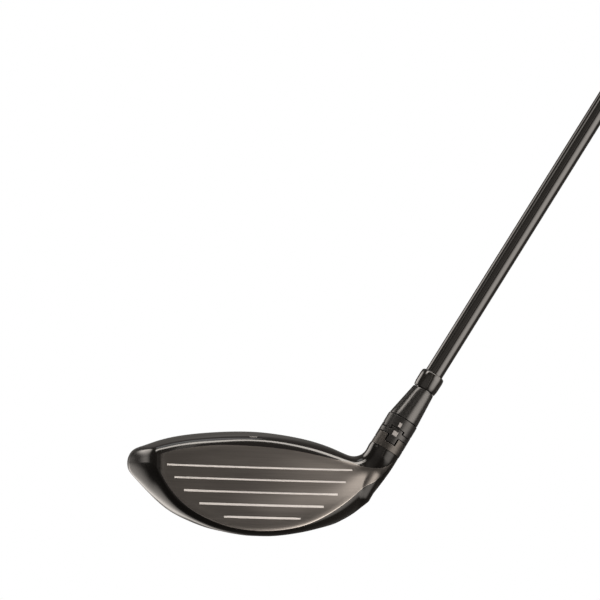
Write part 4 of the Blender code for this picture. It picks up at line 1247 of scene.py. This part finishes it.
class FAIRWAY_OT_sleeve(Piece):
    """Builds the sleeve with its leaning collar, and finishes the bush and plug in it"""

    bl_idname = "fairway.sleeve"
    bl_label = "Sleeve"

    def build(self, head, shaft):
        sides = shaft.sides
        collar = [(5.2 + (HOSEL_R - 5.45) * f, 0.2 + (COLLAR_FOOT - 0.4) * f) for f in span(0, 1, 7)]
        profile = [(0, 0.2), *collar, (HOSEL_R - 0.4, COLLAR_FOOT), (ADAPTOR_R, COLLAR_FOOT),
                   (ADAPTOR_R, NARROW_FROM - 0.5), (NARROW_R, NARROW_FROM), (NARROW_R, ADAPTOR_FOOT),
                   (0, ADAPTOR_FOOT)]
        sleeve = turned("sleeve_face", rounded(profile, 0.15, 3), on_collar, sides)
        room, tip, top = TIP_R + 0.2, SHAFT_TIP + 0.4, INSERT_TOP - 1.0
        bore = turned("bore", [(0, -3), (room, -3), (room, tip), (0, tip)], on_tilted, sides)
        seat = turned("seat", [(0, top), (3.0, top), (3.0, top + 0.7), (4.2, top + 0.7), (4.2, 60), (0, 60)],
                      on_hosel, sides)
        carve(sleeve, bore, seat)
        finish = lathed_finish("sleeve_alloy", head.alloy, 0.24, HOSEL_LIE, HOSEL_FOOT, 0.35, 7.0, 0.0005,
                               Specular_IOR_Level=0.5)
        own(sleeve, "club", "adaptor", finish)
        steel = lathed_finish("bush_steel", head.steel, 0.3, HOSEL_LIE, HOSEL_FOOT)
        carried("thread_insert", steel)
        carried("tip_plug", moulded_finish("plug_nylon", (0.55, 0.54, 0.50), 0.5))


class FAIRWAY_OT_screw(Piece):
    """Builds the screw with its thread and six-lobed recess, and finishes its washer and retainer"""

    bl_idname = "fairway.screw"
    bl_label = "Screw"

    def build(self, head, shaft):
        top, foot = SCREW_HEAD
        shank = SCREW_R - 0.1
        pitch, deep = shaft.thread_pitch / MM, shaft.thread_depth / MM
        start, end = INSERT_TOP + 1.6, ADAPTOR_FOOT - 0.6

        def thread(radius, along, a):
            """Depth of the helical groove at a distance and an angle."""
            if not start + 0.7 <= along <= end or radius != shank:
                return 0.0
            phase = (along / pitch - a / (2 * math.pi)) % 1.0
            fade = min(1.0, (along - start - 0.7) / pitch, (end - along) / pitch)
            return -deep * abs(2 * phase - 1) * max(0.0, fade)

        rings = [(shank, h) for h in np.arange(start + 0.7, end, pitch / 10)]
        profile = [(0, start), (shank - 0.6, start), *rings, (shank, top), (SCREW_HEAD_R - 0.15, top),
                   (SCREW_HEAD_R, top + 0.15), (SCREW_HEAD_R, foot - 0.6), (SCREW_HEAD_R - 0.15, foot - 0.25),
                   (SCREW_HEAD_R - 0.5, foot), (0, foot)]
        screw = turned("heel_screw_face", profile, on_hosel, 64, thread)
        points, count = [], 72
        for h in (foot - LOBE_DEEP, foot - 0.15, foot + 0.4):
            for k in range(count):
                a = 2 * math.pi * k / count
                r = LOBE_R + LOBE_WAVE * math.cos(6 * a) + (0.35 if h > foot else 0.0)
                points.append(on_hosel(h, r * math.cos(a), r * math.sin(a)))
        faces = [list(range(count)), list(range(2 * count, 3 * count))]
        for k in range(2 * count):
            m = k + 1 if (k + 1) % count else k + 1 - count
            faces.append([k, m, m + count, k + count])
        carve(screw, make("lobes", points, faces))
        steel = lathed_finish("bright_steel", head.steel, 0.26, HOSEL_LIE, HOSEL_FOOT, faced=True)
        own(screw, "screw", "heel_screw", steel)
        carried("screw_washer", steel)
        carried("screw_retainer", moulded_finish("nylon", (0.6, 0.6, 0.56), 0.45))


class FAIRWAY_OT_shaft(Piece):
    """Builds the lacquered shaft and the ferrule on its foot"""

    bl_idname = "fairway.shaft"
    bl_label = "Shaft and ferrule"

    def build(self, head, shaft):
        lengths = [*span(-SHAFT_TIP + 0.4, PARALLEL, 12), *span(PARALLEL, BUTT, 50)[1:]]
        outer = [(TIP_R - 0.3, -SHAFT_TIP)] + [(shaft_radius(t), t) for t in lengths]
        inner = [(shaft_radius(t) - WALL, t) for t in reversed([-SHAFT_TIP, *lengths[1:]])]
        tube = turned("shaft_tube", outer + inner, on_shaft, shaft.sides)
        own(tube, "club", "shaft", shaft_finish(head))
        bore, wide, top = TIP_R + 0.08, FERRULE_R, FERRULE
        profile = rounded([(bore, 0.3), (wide - 0.42, 0.3), (wide - 0.3, 0.9), (wide - 0.1, 2.2), (wide, top - 2.2),
                           (wide - 0.25, top - 0.5), (wide - 1.15, top), (bore, top)], 0.8, 6)
        ferrule = turned("ferrule_face", profile, on_shaft, shaft.sides)
        plastic = gloss_finish("ferrule_plastic", lighter(head.shaft, 1.2), head, 0.12)
        own(ferrule, "club", "ferrule", plastic)


class FAIRWAY_OT_grip(Piece):
    """Builds the patterned grip and its cap, and finishes the tape under it"""

    bl_idname = "fairway.grip"
    bl_label = "Grip"

    def build(self, head, shaft):
        start, end = GRIP_FROM, BUTT
        low, high = GRIP_R
        seat = CAP_R + 0.12
        pitch, deep = shaft.pattern_pitch / MM, shaft.pattern_depth / MM
        length = end - start

        def skin_radius(t):
            f = (t - start) / length
            return low - 0.5 + (high - low) * (0.25 * f + 0.75 * f * f)

        first, last = start + 11.0, end - 12.0

        def pattern(radius, along, a):
            """Rows of small slanting cuts, which turn their slant from row to row."""
            if not first <= along <= last or radius < low - 1.0:
                return 0.0
            band = math.floor((along - first) / (4 * pitch)) % 2
            slant = 1 if band else -1
            cut = math.cos(2 * math.pi * (along / pitch) + slant * 8 * a)
            across = math.cos(16 * a)
            fade = min(1.0, (along - first) / 2.0, (last - along) / 2.0)
            return -deep * fade * max(0.0, cut) ** 0.6 * min(1.0, max(0.0, across + 0.55) * 2.0)

        mouth = [(low - 0.9, start), (low - 0.15, start + 0.3), (low, start + 1.2), (low, start + 5.0),
                 (low - 0.15, start + 5.8), (skin_radius(start + 7.0), start + 7.0)]
        rows = [(skin_radius(t), t) for t in np.arange(start + 8.0, end - 2.0, pitch / 8)]
        rim = [(high - 0.25, end - 1.0), (high, end + 1.5), (high + 0.25, end + 3.4), (high + 0.2, end + 4.8),
               (high - 0.3, end + 5.6), (high - 1.0, end + 6.0), (seat, end + 6.0), (seat, end + 1.2)]
        room = TAPE[1] + 0.15
        hollow = [(shaft_radius(end) + room, end + 1.2), (shaft_radius(start) + room, start)]
        grip = turned("grip_skin", mouth + rows + rim + hollow, on_shaft, 128, pattern)
        rubber = moulded_finish("grip_rubber", head.grip, 0.72, 2.5, 0.02)
        own(grip, "club", "grip", rubber)
        profile = rounded([(VENT_R, end + 1.5), (CAP_R, end + 1.5), (CAP_R, end + 6.4), (6.2, end + 6.6),
                           (5.9, end + 6.3), (5.3, end + 6.3), (5.0, end + 6.6), (VENT_R, end + 6.6)], 0.35)
        cap = turned("grip_cap_face", profile, on_shaft, shaft.sides)
        own(cap, "club", "grip_cap", rubber)
        carried("grip_tape", moulded_finish("tape", (0.55, 0.45, 0.28), 0.8, 1.2))


class FAIRWAY_OT_stage(bpy.types.Operator):
    """Lays the white floor, lights the object and places the camera"""

    bl_idname = "fairway.stage"
    bl_label = "Stage"

    def execute(self, context):
        scene = context.scene
        stage = scene.fairway_stage
        self.floor(stage)
        scene.world = self.surround(stage)
        scene.view_settings.view_transform = "Standard"
        sun = bpy.data.lights.new("sun", "SUN")
        sun.energy = stage.sun
        sun.angle = stage.sun_angle
        lamp = bpy.data.objects.new("sun", sun)
        lamp.rotation_euler = Vector(SUN_FROM).to_track_quat("Z", "Y").to_euler()
        scene.collection.objects.link(lamp)
        self.camera(scene, stage)
        return {"FINISHED"}

    def floor(self, stage):
        """A white floor that only the camera sees, so that it throws no light or shadow."""
        count, radius = 96, stage.floor_size / MM
        rim = [(radius * math.cos(a), radius * math.sin(a), 0.0)
               for a in np.linspace(0, 2 * math.pi, count + 1)[:-1]]
        floor = make("floor", rim, [list(range(count))])
        finish = Finish("floor_paint", Base_Color=(0, 0, 0), Specular_IOR_Level=0.0, Emission_Strength=1.0)
        finish.set("Emission Color", tuple(stage.floor))
        floor.data.materials.append(finish.material)
        floor.visible_diffuse = floor.visible_glossy = floor.visible_shadow = False

    def surround(self, stage):
        """A dim room with soft boxes, seen as plain white behind the object."""
        world = bpy.data.worlds.new("surround")
        world.use_nodes = True
        nodes = Nodes(world.node_tree)
        way = nodes.node("ShaderNodeTexCoord", {}, {}, "Generated")
        level = nodes.math("ADD", stage.room, 0.0)
        for direction, start, full, brightness in SOFT_BOXES:
            level = level + nodes.rise(nodes.toward(way, direction), start, full) * brightness
        side, rear, height = (nodes.part(way, axis) for axis in "XYZ")
        ends = (1.0 - nodes.rise(rear, *STRIP_REAR)) * nodes.rise(side, *STRIP_TOE)
        for axis, width, brightness, low in STRIPS:
            off = nodes.toward(way, axis).of("ABSOLUTE")
            lit = (1.0 - nodes.rise(off, width * 0.6, width)) * nodes.rise(height, low, low + 0.15)
            level = level + lit * ends * brightness
        seen = nodes.node("ShaderNodeLightPath", {}, {}, "Is Camera Ray")
        background = world.node_tree.nodes["Background"]
        nodes.put(background.inputs["Color"], nodes.blend(seen, WARM, (1.0, 1.0, 1.0)))
        nodes.put(background.inputs["Strength"], level * (1.0 - seen) + seen * stage.sky)
        return world

    def camera(self, scene, stage):
        a = stage.azimuth
        back = Vector((math.sin(a), -math.cos(a), 0.0))
        right, up = Vector((math.cos(a), math.sin(a), 0.0)), Vector((0.0, 0.0, 1.0))
        side = right * math.cos(stage.roll) + up * math.sin(stage.roll)
        head = up * math.cos(stage.roll) - right * math.sin(stage.roll)
        data = bpy.data.cameras.new("camera")
        data.lens = stage.lens
        data.clip_end = 100.0
        camera = bpy.data.objects.new("camera", data)
        scene.collection.objects.link(camera)
        turn = Matrix((side, head, back)).transposed().to_4x4()
        camera.matrix_world = Matrix.Translation(Vector(CAMERA_AIM) + back * stage.distance) @ turn
        scene.camera = camera


STEPS_IN_ORDER = [FAIRWAY_OT_stage, FAIRWAY_OT_body, FAIRWAY_OT_face, FAIRWAY_OT_crown, FAIRWAY_OT_weights,
                  FAIRWAY_OT_hosel, FAIRWAY_OT_sleeve, FAIRWAY_OT_screw, FAIRWAY_OT_shaft, FAIRWAY_OT_grip]


class FAIRWAY_PT_panel(bpy.types.Panel):
    """The settings and the steps of the build"""

    bl_idname = "FAIRWAY_PT_panel"
    bl_label = "Fairway Wood"
    bl_space_type = "VIEW_3D"
    bl_region_type = "UI"
    bl_category = "Fairway Wood"

    def draw(self, context):
        for name, group in GROUPS.items():
            box = self.layout.box()
            box.label(text=group.__doc__)
            for key in group.__annotations__:
                box.prop(getattr(context.scene, name), key)
        for step in STEPS_IN_ORDER:
            self.layout.operator(step.bl_idname)


CLASSES = [*GROUPS.values(), *STEPS_IN_ORDER, FAIRWAY_PT_panel]


def register():
    for each in CLASSES:
        bpy.utils.register_class(each)
    for name, group in GROUPS.items():
        setattr(bpy.types.Scene, name, PointerProperty(type=group))


def unregister():
    for name in GROUPS:
        delattr(bpy.types.Scene, name)
    for each in reversed(CLASSES):
        bpy.utils.unregister_class(each)


def main():
    register()
    for step in STEPS_IN_ORDER:
        group, name = step.bl_idname.split(".")
        getattr(getattr(bpy.ops, group), name)()


if __name__ == "__main__":
    main()
